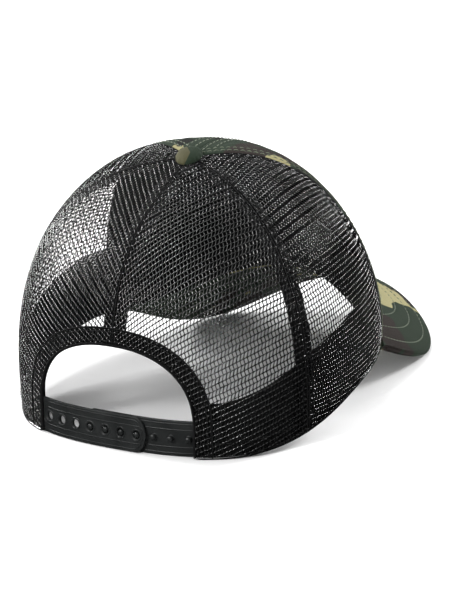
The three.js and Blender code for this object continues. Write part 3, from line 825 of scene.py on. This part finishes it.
    def cross_threads(self, shell, mirror):
        """One short thread from each knot to a knot of the next row, cut at the panel's edges."""
        knots = np.arange(0, self.columns - 2, self.column_pitch / self.STEP)
        row, knot = np.meshgrid(np.arange(self.rows - 1), knots, indexing="ij")
        row, knot = row.ravel(), knot.ravel()
        shift_low = np.where(row % 2 == 1, self.shift(1), 0.0)
        shift_high = np.where(row % 2 == 1, 0.0, self.shift(1))
        low_point, low_normal, low_clear = self.at(row, knot + shift_low)
        high_point, high_normal, high_clear = self.at(row + 1, knot + shift_high)
        keep = (low_clear > 0) | (high_clear > 0)
        keep &= np.linalg.norm(high_point - low_point, axis=-1) < 3 * NET_ROW_PITCH
        low_point, high_point, low_normal, high_normal, low_clear, high_clear = (
            values[keep] for values in (low_point, high_point, low_normal, high_normal, low_clear, high_clear)
        )
        span = np.where(np.abs(high_clear - low_clear) < 1e-6, 1e-6, high_clear - low_clear)
        cross = np.clip(-low_clear / span, 0, 1)
        start = np.where(low_clear > 0, 0.0, cross)
        end = np.where(high_clear > 0, 1.0, cross)
        long_enough = end - start > 0.15
        steps = np.array([0.0, 0.3, 0.7, 1.0])
        share = (start[:, None] + (end - start)[:, None] * steps)[long_enough][..., None]
        points = low_point[long_enough][:, None] * (1 - share) + high_point[long_enough][:, None] * share
        normals = low_normal[long_enough][:, None] * (1 - share) + high_normal[long_enough][:, None] * share
        width = np.array([0.8, 0.58, 0.58, 0.8])
        height = np.array([0.5, 0.46, 0.46, 0.5])
        jitter = 1 + 0.08 * rng.standard_normal((len(points), 1))
        paths = (points - normals * (NET_DEPTH + 0.03)) * mirror
        tubes(shell, paths, normals * mirror, width * jitter, height * jitter, sides=4, turn=0.4)


# How the net's rows slope on the middle of a panel: rise up the crown, and degrees upwards to the front.
SIDE_GRAIN = [(0.0, 5), (0.3, 10), (0.5, 6), (0.75, 0), (0.95, -5)]
REAR_GRAIN = [(0.0, 22), (0.3, 27), (0.6, 25), (0.95, 20)]


def build_net_panels():
    for kind, low, high, grain, column_pitch, arched in (
        ("side", FRONT_SEAM, REAR_SEAM, SIDE_GRAIN, SIDE_COLUMN_PITCH, False),
        ("rear", REAR_SEAM, CENTRE_BACK, REAR_GRAIN, REAR_COLUMN_PITCH, True),
    ):
        panel = NetPanel(low, high, grain, column_pitch, arched)
        for side, sign in SIDES:
            shell = Shell()
            mirror = np.array([sign, 1.0, 1.0])
            panel.cords(shell, mirror)
            panel.cross_threads(shell, mirror)
            piece = shell.object(f"{kind}_net_{side}", NET, slot="net", smooth_angle=None)
            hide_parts(f"{kind}_panel_{side}")


# ------------------------------------------------------------------ seams, tapes and bands


SEAMS = [("centre_front", 0.0), ("centre_back", CENTRE_BACK)] + [
    (f"{kind}_{side}", sign * angle)
    for kind, angle in (("front", FRONT_SEAM), ("rear", REAR_SEAM))
    for side, sign in SIDES
]


def seam_line(seam, offset, count=220, top=4.5):
    """Points and normals beside a seam, offset in millimetres round the crown."""
    start = 0.0 if abs(seam) < 3.1 else rise_at_height(np.array(seam), ARCH_TOP + 0.4)
    rises = np.linspace(start, rise_near_apex(np.array(seam), top), count)
    angle = seam + offset / reach(np.full(count, seam), rises)
    return crown_skin(angle, rises)


def build_seams():
    """Where a seam meets net: the panel's turned edge, and a row of stitches along it."""
    for name, seam in SEAMS:
        edges, rows = Shell(), Shell()
        netted = abs(seam) > 2 * math.pi / 5
        for sign in (-1, 1):
            faces_net = netted or (abs(seam) == FRONT_SEAM and sign == math.copysign(1, seam))
            if faces_net:
                point, normal = seam_line(seam, sign * 0.68)
                tube(edges, point - normal * 0.6, normal, 1.0, 0.8)
                point, normal = seam_line(seam, sign * 3.0)
                stitches(rows, point - normal * 0.25, normal, 2.3, 0.75, 0.5, 0.4)
        if edges.count:
            edges.object(f"seam_edges_{name}", TURNED_EDGE, slot="net")
            rows.object(f"seam_stitches_{name}", SEAM_THREAD, slot="seam_tape")


TAPE_ROUND_APEX, TAPE_THICKNESS, CENTRE_BACK_TAPE_FOOT = 17.0, 0.6, 62.2


def build_tapes():
    """The tapes that cover the seams inside, each with a row of stitches along both edges."""
    for name, seam in SEAMS:
        width = 14.0 if name == "centre_back" else 11.0
        depth = 2.8 if "front" in name else 1.6
        if name == "centre_back":
            start = rise_at_height(np.array(seam), CENTRE_BACK_TAPE_FOOT)
        else:
            start = rise_at_length(np.array(seam), 2.5)
        rises = np.linspace(start, rise_near_apex(np.array(seam), TAPE_ROUND_APEX), 60)
        offsets = np.array([-0.5, -0.46, -0.36, -0.15, 0.15, 0.36, 0.46, 0.5]) * width
        lift = np.array([0.25, 0.05, 0, 0, 0, 0, 0.05, 0.25])
        rise, offset = np.meshgrid(rises, offsets, indexing="ij")
        angle = seam + offset / reach(np.full(rise.shape, seam), rise)
        outer = crown_layer(angle, rise, depth + 0 * rise + lift)
        inner = crown_layer(angle, rise, depth + TAPE_THICKNESS + 0 * rise - TAPE_THICKNESS * lift)
        tape = cloth_slab(f"tape_{name}", outer, inner, TAPE_CLOTH, slot="seam_tape")
        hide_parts(f"seam_tape_{name}")
        shell = Shell()
        for sign in (-1, 1):
            line = seam + sign * (width / 2 - 1.5) / reach(np.full(60, seam), rises)
            point, normal = crown_skin(line, rises)
            stitches(shell, point - normal * (depth + TAPE_THICKNESS + 0.02), -normal)
        shell.object(f"tape_stitches_{name}", SEAM_THREAD, slot="seam_tape")


def arch_line(outside, count=260, foot=0.9):
    """The rear opening's outline from foot to foot, moved outwards: x and z seen from behind."""
    half, rise = ARCH_HALF_WIDTH + outside, ARCH_TOP - ARCH_SPRING + outside
    turn = np.linspace(-np.pi / 2, np.pi / 2, count)
    x = half * np.sign(turn) * np.abs(np.sin(turn)) ** (2 / ARCH_ROUNDNESS)
    z = ARCH_SPRING + rise * np.abs(np.cos(turn)) ** (2 / ARCH_ROUNDNESS)
    straight = np.linspace(foot, ARCH_SPRING, 16)[:-1]
    x = np.concatenate([np.full(15, -half), x, np.full(15, half)])
    z = np.concatenate([straight, z, straight[::-1]])
    far = np.concatenate([[0], np.cumsum(np.hypot(np.diff(x), np.diff(z)))])
    even = np.linspace(0, far[-1], count)
    return np.interp(even, far, x), np.interp(even, far, z)


def on_back(x, z, depth=0.0):
    """Points at a depth under the back of the crown, and their outward normals."""
    point, normal = crown_skin(*back_place(x, z))
    return point - normal * depth, normal


# The facing's outer face: how far outside the opening's edge, and how deep in the crown.
FACING_SECTION = (
    (0.15, 1.75), (0.5, 1.6), (2.5, 1.6), (5.0, 1.6), (FACING_WIDTH - 0.4, 1.6), (FACING_WIDTH, 1.8),
)


def build_arch():
    """The facing round the rear opening, the net's edges that it turns, and two rows of stitches."""
    outer = np.stack([on_back(*arch_line(outside), depth)[0] for outside, depth in FACING_SECTION])
    _, normal = on_back(*arch_line(4.0))
    facing = cloth_slab("arch_facing_tape", outer, outer - normal[None] * 0.55, TAPE_CLOTH, slot="net")
    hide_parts("arch_facing")

    edge, rows = Shell(), Shell()
    tube(edge, *on_back(*arch_line(0.35), 0.75), 1.5, 2.0, sides=10)
    tube(edge, *on_back(*arch_line(FACING_WIDTH + 0.2), 0.25), 0.9, 0.8)
    edge.object("arch_edge", TURNED_EDGE, slot="net")
    for outside in (2.2, FACING_WIDTH - 1.6):
        stitches(rows, *on_back(*arch_line(outside), -0.12), 2.5, 0.8, 0.62, 0.5)
    rows.object("arch_stitches", SEAM_THREAD, slot="net")


RIM_END = math.radians(149.2)


def build_rim():
    """The turned-up hem round the rim, with its stitches: net behind the front seams, cloth before them."""
    for name, low, high, material, slot in (
        ("front", -FRONT_SEAM, FRONT_SEAM, FRONT_PRINT["right"], "camouflage_twill"),
        ("right", FRONT_SEAM, RIM_END, NET, "net"),
        ("left", -RIM_END, -FRONT_SEAM, NET, "net"),
    ):
        angle = np.linspace(low, high, 240)
        shell = Shell()
        point, normal = crown_skin(angle, rise_at_length(angle, 0.75))
        tube(shell, point - normal * 1.15, normal, 1.6, 2.5, sides=12)
        hem = shell.object(f"rim_hem_{name}", material, slot=slot)
        set_cloth(hem, np.zeros((len(hem.data.vertices), 2)))
        rows = Shell()
        for up in (2.3, 8.5):
            point, normal = crown_skin(angle, rise_at_length(angle, up))
            lift = 0.1 if name != "front" else 0.2
            stitches(rows, point + normal * lift, normal, 2.4, 0.8, 0.6, 0.48)
        thread = PRINT_THREAD if name == "front" else SEAM_THREAD
        rows.object(f"rim_stitches_{name}", thread, slot=slot)


SWEATBAND_THICKNESS = 2.0


def sweatband_depth(angle):
    """How deep the band lies: it passes inside the strap's tabs at its ends."""
    return 3.9 + 1.5 * smooth((np.abs(angle) - math.radians(124)) / math.radians(10))


def sweatband_height(angle):
    taper = (np.abs(angle) - SWEATBAND_TAPER) / (SWEATBAND_END - SWEATBAND_TAPER)
    return SWEATBAND_HEIGHT + (SWEATBAND_END_HEIGHT - SWEATBAND_HEIGHT) * smooth(taper)


def build_sweatband():
    """A padded band with rounded edges; its foot turns out to the rim's hem."""
    angles = np.linspace(-SWEATBAND_END, SWEATBAND_END, 220)
    top = sweatband_height(angles)
    near_foot = np.array([0.2, 0.35, 0.9, 1.8, 3.2, 5, 8])
    foot_drop = np.array([0.9, 0.5, 0.12, 0, 0, 0, 0])
    foot_out = np.array([1.9, 1.9, 1.85, 1.6, 1.15, 0.6, 0.15])
    shares = np.linspace(0, 1, 7)[1:, None]
    below_top, top_drop = np.array([0.8, 0.15, 0.0]), np.array([0.15, 0.5, 0.9])
    body = near_foot[-1] + shares * (top - 2.5 - near_foot[-1])
    length = np.concatenate([near_foot[:, None] + 0 * top, body, top - below_top[:, None]])
    none = np.zeros(len(body))
    drop = np.concatenate([foot_drop, none, top_drop])[:, None]
    foot = np.concatenate([foot_out, none, np.zeros(3)])[:, None]
    angle = angles + 0 * length
    rise = rise_at_length(angle, length)
    depth = sweatband_depth(angle) - foot
    wrinkle = 0.1 + 0.18 * np.abs(np.sin(angle * 61 + length * 0.3) * np.sin(length / top * np.pi))
    outer = crown_layer(angle, rise, depth + drop)
    inner = crown_layer(angle, rise, depth + SWEATBAND_THICKNESS - drop - wrinkle)
    band = cloth_slab("sweatband_cloth", outer, inner, BAND_CLOTH, slot="sweatband_cotton")
    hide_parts("sweatband")
    shell = Shell()
    for up, sink in ((3.0 + 0 * top, 1.25), (top - 3.0, 0.05)):
        point, normal = crown_skin(angles, rise_at_length(angles, up))
        deep = sweatband_depth(angles) + SWEATBAND_THICKNESS - sink
        stitches(shell, point - normal * deep[:, None], -normal)
    shell.object("sweatband_stitches", SEAM_THREAD, slot="sweatband_cotton")


# ------------------------------------------------------------------ peak


def peak_root(angle, gap):
    """Where the peak meets the crown, seen from above, a gap away from it."""
    outward = np.stack([np.sin(angle), np.cos(angle)], -1)
    return crown_point(angle, PEAK_ROOT_LIFT)[..., :2] + gap * outward


def peak_sheet(x, y):
    """The height of the peak's middle sheet, which falls away forwards and bends down to both sides."""
    out = y - PEAK_ROOT_Y
    return PEAK_SLOPE * out - PEAK_BEND * x * x * (1 + PEAK_BEND_GROWTH * out)


def peak_outline(across, inset):
    """The peak's edge moved in by an inset, and the angle of its corner on the crown."""
    half = PEAK_HALF_WIDTH - inset

    def corner_x(angle):
        return peak_root(angle, PEAK_CORNER_GAP)[..., 0]

    corner_angle = solve(corner_x, half, 0.0, FRONT_SEAM)
    corner = peak_root(corner_angle, PEAK_CORNER_GAP)
    turn = (np.asarray(across) - 0.5) * np.pi
    power = 2 / PEAK_ROUNDNESS
    x = corner[0] * np.sign(turn) * np.abs(np.sin(turn)) ** power
    y = corner[1] + (PEAK_TIP_Y - inset - corner[1]) * np.abs(np.cos(turn)) ** power
    return np.stack([x, y], -1), corner_angle


def peak_shape(plan, height):
    """Points at a height over the peak's middle sheet, before it is lifted into place, and their normals."""
    x, y = plan[..., 0], plan[..., 1]
    slope_x = peak_sheet(x + 0.5, y) - peak_sheet(x - 0.5, y)
    slope_y = peak_sheet(x, y + 0.5) - peak_sheet(x, y - 0.5)
    normal = unit(np.stack([-slope_x, -slope_y, np.ones_like(x)], -1))
    return np.stack([x, y, peak_sheet(x, y)], -1) + normal * np.asarray(height, float)[..., None], normal


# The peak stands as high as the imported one, whose lowest point is the edge of its underside.
PEAK_HEIGHT = 2.2
PEAK_ROWS = (5.0, 12.5, 20.0, 27.5, 35.0, 42.5)
PEAK_STITCH_HEIGHT, PEAK_ROW_GROOVE = PEAK_HEIGHT - 0.3, 0.32
UNDERSIDE_EDGE = peak_shape(peak_outline(np.linspace(0, 1, 400), 0.0)[0], np.full(400, -PEAK_HEIGHT))[0]
PEAK_LIFT = np.array([0.0, 0.0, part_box("peak_under")[0].z / MM - UNDERSIDE_EDGE[:, 2].min()])


def peak_layer(plan, height):
    point, normal = peak_shape(plan, height)
    return point + PEAK_LIFT, normal


def peak_plan():
    """A grid of places on the peak, finer towards its edge, and how far each is from that edge."""
    edge_share = spread(0.0, 1.0, 0.0065, [0.0, 0.003])
    edge, corner_angle = peak_outline(edge_share, 0.0)
    root_end = corner_angle + PEAK_CORNER_OVERLAP
    root = peak_root((edge_share * 2 - 1) * root_end, PEAK_ROOT_GAP)
    width = np.linalg.norm(edge - root, axis=-1)
    fractions = np.concatenate([np.linspace(0, 0.93, 96), [0.945]])
    insets = np.array([3.2, 2.2, 1.5, 0.9, 0.45, 0.15, 0.0])
    near_edge = np.minimum(insets[:, None] / np.maximum(width, 1), 0.055 * (insets / insets[0])[:, None])
    share = np.concatenate([np.repeat(fractions[:, None], len(width), 1), 1 - near_edge])
    return root[None] + (edge - root)[None] * share[..., None], (1 - share) * width


def build_peak_cover():
    """The peak's cloth, drawn down into a groove along each row of stitches."""
    plan, far = peak_plan()
    rounding = np.sqrt(np.clip(1 - (1 - np.clip(far / PEAK_EDGE_RADIUS, 0, 1)) ** 2, 0, 1))
    waves = 0.12 * np.sin(plan[..., 0] * 0.21) * np.sin(plan[..., 1] * 0.17)
    border = peak_outline(np.linspace(0, 1, 700), 0.0)[0]
    inside = np.array([np.linalg.norm(line[:, None] - border[None], axis=-1).min(axis=1) for line in plan])
    from_row = np.min([np.abs(inside - inset) for inset in PEAK_ROWS], axis=0)
    groove = PEAK_ROW_GROOVE * np.exp(-(from_row**2))
    height = (PEAK_HEIGHT + np.minimum(waves, 0.0) - groove) * rounding
    top, _ = peak_layer(plan, height)
    bottom, _ = peak_layer(plan, -height)
    cover = cloth_slab("peak_cover", top, bottom, PEAK_PRINT, slot="camouflage_twill")
    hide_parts("peak_top", "peak_under", "peak_board")


def build_peak_stitches():
    """Rows of stitches at even distances inside the peak's edge, on its top and its underside."""
    rows = Shell()
    edge, _ = peak_outline(np.linspace(0, 1, 900), 0.0)
    step = np.gradient(edge, axis=0)
    inward = np.stack([step[:, 1], -step[:, 0]], -1)
    inward /= np.linalg.norm(inward, axis=-1, keepdims=True) + 1e-9
    for inset in PEAK_ROWS:
        line = edge + inward * inset
        bearing = np.arctan2(line[:, 0], line[:, 1])
        room = np.linalg.norm(line, axis=-1) - np.linalg.norm(peak_root(bearing, 0.0), axis=-1)
        line = line[room > 2.5]
        far = travelled(line)
        even = np.linspace(0, far[-1], 300)
        line = np.stack([np.interp(even, far, line[:, axis]) for axis in range(2)], -1)
        for sign in (1, -1):
            point, normal = peak_layer(line, np.full(300, sign * PEAK_STITCH_HEIGHT))
            stitches(rows, point, normal * sign, 2.7, 0.9, 0.55, 0.42)
    rows.object("peak_stitches", PRINT_THREAD, slot="camouflage_twill")


def build_peak_piping():
    """The seam round the peak's edge."""
    seam = Shell()
    line, _ = peak_outline(np.linspace(0.004, 0.996, 400), 0.0)
    point, _ = peak_layer(line, np.zeros(400))
    tube(seam, point, np.tile([0, 0, 1.0], (400, 1)), 0.9, 0.9)
    piping = seam.object("peak_edge_seam", PEAK_PRINT, slot="camouflage_twill")
    set_cloth(piping, np.zeros((len(piping.data.vertices), 2)))


# ------------------------------------------------------------------ button


BUTTON_RADIUS, BUTTON_RISE, BUTTON_BASE, BUTTON_TILT = 7.3, 4.2, 0.5, math.radians(20)


def build_button():
    """A cloth-covered shell: the cloth is gathered under the rim, which leaves faint radial puckers."""
    radii = np.concatenate([np.linspace(0.0, 0.9, 20)[1:], [0.95, 0.98, 1.0]])
    tucked_under = ((1.0, -0.25), (0.96, -0.55), (0.86, -0.65), (0.6, -0.4))
    profile = [(BUTTON_RADIUS * r, BUTTON_BASE + BUTTON_RISE * math.sqrt(max(0, 1 - r**2.3))) for r in radii]
    profile += [(BUTTON_RADIUS * r, BUTTON_BASE + z) for r, z in tucked_under]
    turns = np.linspace(0, 2 * np.pi, 97)[:-1]
    vertices = [(0, 0, BUTTON_BASE + BUTTON_RISE)]
    for radius, z in profile:
        pucker = 0.10 * smooth((radius / BUTTON_RADIUS - 0.7) / 0.3) * np.sin(turns * 15 + np.sin(turns * 3))
        out = radius + pucker
        vertices += list(zip(out * np.sin(turns), out * np.cos(turns), z + 0.3 * pucker))
    count, rings = len(turns), len(profile)
    faces = [(0, 1 + k, 1 + (k + 1) % count) for k in range(count)]
    for ring in range(rings - 1):
        low, high = 1 + ring * count, 1 + (ring + 1) * count
        faces += [(low + k, high + k, high + (k + 1) % count, low + (k + 1) % count) for k in range(count)]
    faces.append(tuple(1 + (rings - 1) * count + k for k in range(count)))
    vertices = np.array(vertices)
    tilt = np.array(Matrix.Rotation(BUTTON_TILT, 3, "X"))
    placed = to_frame(vertices @ tilt.T + APEX)
    piece = make_object("button_cloth", placed, faces, BUTTON_PRINT_SHADED_KHAKI, slot="camouflage_twill")
    set_cloth(piece, vertices[:, :2])
    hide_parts("button_shell")


# ------------------------------------------------------------------ snap strap


STRAP_TURNS = np.linspace(0, 1.2, 2400)
STRAP_RIM_X = rim_radius(CENTRE_BACK - STRAP_TURNS) * np.sin(STRAP_TURNS)


def station_x(station):
    """The place along the strap of a hole or peg, numbered from the left."""
    return STRAP_CENTRE + (station - (STRAP_STATIONS - 1) / 2) * STRAP_PITCH


STRAP_MIDDLE = STRAP_BOTTOM + STRAP_HEIGHT / 2
HOLE_RADIUS, PEG_RADIUS = 2.45, 1.55
HOLE_TIP, PEG_TIP = station_x(6) + 5.2, station_x(3) - 5.2
TAB_OUTER = {"hole": -56.95, "peg": 60.15}
STRAP_CORNER, STRAP_BEVEL = 6.3, 0.32


def strap_map(flat, depth):
    """From the flat strap (x, height over the floor, how far it stands out) to the cap."""
    turn = np.interp(np.abs(flat[:, 0]), STRAP_RIM_X, STRAP_TURNS)
    angle = np.where(flat[:, 0] >= 0, 1, -1) * (CENTRE_BACK - turn)
    return crown_layer(angle, rise_at_height(angle, flat[:, 1]), depth - flat[:, 2])


def strap_outline(tip, root, inset=0.0):
    """A strip with a square end at the root and a rounded tip, from root to root round the tip."""
    inward = 1 if root > tip else -1
    middle, half = STRAP_MIDDLE, STRAP_HEIGHT / 2 - inset
    depth = STRAP_CORNER - 0.3 * inset
    turns = np.linspace(math.pi / 2, -math.pi / 2, 33)
    end = [(tip + inward * (inset + depth * (1 - math.cos(t))), middle + half * math.sin(t)) for t in turns]
    return [(root, middle + half)] + end + [(root, middle - half)]


def ring(x, z, radius, count):
    """Points round a circle on the flat strap, the last on top of the first."""
    return [(x + radius * math.cos(t), z + radius * math.sin(t)) for t in np.linspace(0, 2 * math.pi, count)]


def flat_moulding(outline, holes):
    """A flat plate with round holes and rounded edges, cut finely enough to bend."""
    curve = bpy.data.curves.new("moulding", "CURVE")
    curve.dimensions, curve.fill_mode = "2D", "BOTH"
    curve.extrude = STRAP_THICKNESS / 2 - STRAP_BEVEL
    curve.bevel_depth, curve.bevel_resolution = STRAP_BEVEL, 2
    for points in [outline] + [ring(*hole, 41)[:-1] for hole in holes]:
        spline = curve.splines.new("POLY")
        spline.points.add(len(points) - 1)
        for point, (x, z) in zip(spline.points, points):
            point.co = (x, z, 0, 1)
        spline.use_cyclic_u = True
    made = add_to_scene("moulding", curve)
    mesh = bpy.data.meshes.new_from_object(made.evaluated_get(bpy.context.evaluated_depsgraph_get()))
    bpy.data.objects.remove(made)
    work = bmesh.new()
    work.from_mesh(mesh)
    bmesh.ops.remove_doubles(work, verts=work.verts, dist=0.004)
    low = min(v.co.x for v in work.verts)
    high = max(v.co.x for v in work.verts)
    levels = np.arange(STRAP_BOTTOM + 2, STRAP_BOTTOM + STRAP_HEIGHT, 3.0)
    cuts = [((x, 0, 0), (1, 0, 0)) for x in np.arange(low + 1.1, high, 1.6)]
    cuts += [((0, z, 0), (0, 1, 0)) for z in levels]
    for place, direction in cuts:
        everything = work.verts[:] + work.edges[:] + work.faces[:]
        bmesh.ops.bisect_plane(work, geom=everything, plane_co=place, plane_no=direction)
    bmesh.ops.triangulate(work, faces=[f for f in work.faces if len(f.verts) > 4])
    work.verts.ensure_lookup_table()
    work.verts.index_update()
    vertices = np.array([v.co for v in work.verts])
    faces = [[v.index for v in f.verts] for f in work.faces]
    work.free()
    bpy.data.meshes.remove(mesh)
    return vertices, faces


def ridge(shell, line, width, height, closed=False):
    """A rounded rib moulded on the strap's face."""
    line = np.asarray(line, float)
    far = travelled(line)
    even = np.linspace(0, far[-1], max(8, int(far[-1] / 1.2)))
    flat = np.stack([np.interp(even, far, line[:, 0]), np.interp(even, far, line[:, 1]), 0 * even], -1)
    taper = np.ones(len(even))
    if not closed:
        taper[[0, -1]] = 0.55
    tube(shell, flat, np.tile([0, 0, 1.0], (len(even), 1)), width * taper, 2 * height * taper, sides=10)


def racetrack(left, right, radius):
    """A closed line round the holes or pegs, with round ends."""
    turns = np.linspace(-math.pi / 2, math.pi / 2, 15)
    ends = [(right + radius * math.cos(t), STRAP_MIDDLE + radius * math.sin(t)) for t in turns]
    ends += [(left - radius * math.cos(t), STRAP_MIDDLE + radius * math.sin(t)) for t in turns[::-1]]
    return ends + ends[:1]


PEG_FOOT, PEG_TOP = -0.05, 2.7


def peg(shell, x, z):
    """A peg with a rounded head, standing on the strap."""
    radius, foot, top = PEG_RADIUS, PEG_FOOT, PEG_TOP
    rings = [(radius * 1.28, foot), (radius * 1.04, foot + 0.28), (radius, foot + 0.6), (radius, top - 0.75)]
    rings += [(radius * math.cos(a), top - 0.75 + 0.75 * math.sin(a)) for a in np.linspace(0.25, 1.35, 5)]
    points = np.array([[(*place, height) for place in ring(x, z, wide, 25)[:-1]] for wide, height in rings])
    index = np.arange(points.shape[0] * points.shape[1]).reshape(points.shape[:2])
    low, high = index[:-1], index[1:]
    walls = np.stack([low, np.roll(low, -1, 1), np.roll(high, -1, 1), high], -1).reshape(-1, 4)
    start = shell.count
    shell.add(points, walls)
    shell.faces.append((index[0, ::-1] + start).tolist())
    shell.faces.append((index[-1] + start).tolist())


def build_strap(kind, tip, depth, stations):
    """One half of the strap, made flat and then laid round the back of the crown."""
    root = TAB_OUTER[kind]
    inward = 1 if root > tip else -1
    holes = [(station_x(s), STRAP_MIDDLE, HOLE_RADIUS) for s in stations] if kind == "hole" else []
    vertices, faces = flat_moulding(strap_outline(tip, root), holes)
    flat = Shell()
    flat.add(vertices - [0, 0, STRAP_THICKNESS / 2], [])
    flat.faces = faces
    ridge(flat, strap_outline(tip, root - inward * 1.2, 1.3), 0.7, 0.24)
    left, right = sorted((station_x(stations[0]), station_x(stations[-1])))
    ridge(flat, racetrack(left - 1.0, right + 1.0, 4.6), 0.65, 0.22, closed=True)
    for x, z, radius in holes:
        ridge(flat, ring(x, z, radius + 0.55, 29), 0.7, 0.26, closed=True)
    if kind == "peg":
        for station in stations:
            peg(flat, station_x(station), STRAP_MIDDLE)
    outwards = np.tile([0, 0, 1.0], (12, 1))
    for from_root in (3.0, 6.5):
        x = root - inward * from_root
        line = [(x, z, 0.0) for z in np.linspace(STRAP_BOTTOM + 1, STRAP_BOTTOM + STRAP_HEIGHT - 1, 12)]
        stitches(flat, line, outwards, 2.2, 0.8, 0.6, 0.4)
    mapped = to_frame(strap_map(np.concatenate(flat.vertices), depth))
    piece = make_object(f"{kind}_strap_moulding", mapped, flat.faces, SNAP, body=None, slot="snap_plastic")
    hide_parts(f"{kind}_strap", f"{kind}_strap_tab")
    return piece


def build_straps():
    hole_strap = build_strap("hole", HOLE_TIP, HOLE_STRAP_DEPTH, range(0, 7))
    peg_strap = build_strap("peg", PEG_TIP, PEG_STRAP_DEPTH, range(3, 10))
    # For each half, points a few millimetres from its root on the strap's inner face are worked out but not
    # used; the half's placement is baked into its mesh.
    for piece, tongue, depth, start, end in (
        (hole_strap, "hole_tongue", HOLE_STRAP_DEPTH, -47.6, -43.2),
        (peg_strap, "peg_tongue", PEG_STRAP_DEPTH, 50.6, 46.6),
    ):
        ends = np.array([[x, STRAP_MIDDLE, -STRAP_THICKNESS / 2] for x in (start, end)])
        places = to_frame(strap_map(ends, depth))
        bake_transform(piece)


# ------------------------------------------------------------------ studio


VIEW_AZIMUTH, VIEW_ELEVATION, VIEW_ROLL = 34.2371, 17.3115, -3.0171
VIEW_DISTANCE, VIEW_FOCAL = 1483.7, 223.48
VIEW_TARGET = np.array([0.0, 0.0, 60.0])
VIEW_AIM = (0.4975, 0.2175)
LIGHT_TARGET = Vector((0, 0, 0.07))


def build_camera():
    turn, lift, roll = np.radians([VIEW_AZIMUTH, VIEW_ELEVATION, VIEW_ROLL])
    away = np.array([math.sin(turn) * math.cos(lift), -math.cos(turn) * math.cos(lift), math.sin(lift)])
    place = Vector(to_frame(VIEW_TARGET + VIEW_DISTANCE * away))
    forward = Vector(-away)
    right = Vector((math.cos(turn), math.sin(turn), 0))
    up = right.cross(forward)
    rolled_right = right * math.cos(roll) + up * math.sin(roll)
    rolled_up = up * math.cos(roll) - right * math.sin(roll)
    # The lens is aimed a little to the side of the target, by angles in degrees.
    aside, down = (math.tan(math.radians(aim)) for aim in VIEW_AIM)
    axis = (forward + rolled_right * aside - rolled_up * down).normalized()
    side = axis.cross(rolled_up).normalized()
    upright = side.cross(axis)
    camera = bpy.data.cameras.new("camera")
    camera.sensor_width, camera.sensor_fit, camera.lens = 36, "HORIZONTAL", VIEW_FOCAL
    camera.clip_start, camera.clip_end = 0.05, 50
    made = add_to_scene("camera", camera)
    rotation = Matrix((side, upright, -axis)).transposed()
    made.matrix_world = Matrix.Translation(place) @ rotation.to_4x4()
    bpy.context.scene.camera = made


def softbox(name, place, size, power):
    light = bpy.data.lights.new(name, "AREA")
    light.shape, light.size, light.energy = "DISK", size, power
    made = add_to_scene(name, light)
    made.location = place
    made.rotation_euler = (LIGHT_TARGET - Vector(place)).to_track_quat("-Z", "Y").to_euler()


def build_studio():
    """A white floor, a soft overhead sun for even light on it, and four softboxes that the cap reflects."""
    bpy.ops.mesh.primitive_plane_add(size=8)
    floor = bpy.context.object
    floor.name = "studio_floor"
    white, _ = new_material("studio_white", (0.92, 0.92, 0.92), 0.9, Specular_IOR_Level=0.0)
    floor.data.materials.append(white)
    floor.visible_glossy = False
    world = bpy.data.worlds.new("studio")
    bpy.context.scene.world = world
    world.use_nodes = True
    background = world.node_tree.nodes["Background"]
    background.inputs["Color"].default_value = (1, 1, 1, 1)
    background.inputs["Strength"].default_value = 0.7
    world.cycles_visibility.glossy = False
    sun = bpy.data.lights.new("sun", "SUN")
    sun.energy, sun.angle = 0.8, math.radians(60)
    made = add_to_scene("sun", sun)
    made.rotation_euler = Vector((-0.1, -0.6, 1.0)).to_track_quat("Z", "Y").to_euler()
    softbox("softbox_left", (-1.35, 0.05, 0.65), 0.4, 20)
    softbox("softbox_right", (0.75, 1.2, 0.75), 0.4, 20)
    softbox("softbox_back", (-0.45, -1.35, 0.8), 0.35, 11)
    softbox("softbox_top", (-0.1, 0.15, 1.6), 0.35, 3)
    bpy.context.scene.view_settings.view_transform = "Standard"
    bpy.context.scene.view_settings.look = "None"


build_camera()
build_studio()
build_front_panels()
build_net_panels()
build_seams()
build_tapes()
build_arch()
build_rim()
build_sweatband()
build_peak_cover()
build_peak_stitches()
build_peak_piping()
build_button()
build_straps()
rivet_slots = frame["nodes"]["button_rivet"].data.materials
rivet_slots.clear()
rivet_slots.append(RIVET)
for left_over in [w for w in bpy.data.worlds if w.users == 0]:
    bpy.data.worlds.remove(left_over)

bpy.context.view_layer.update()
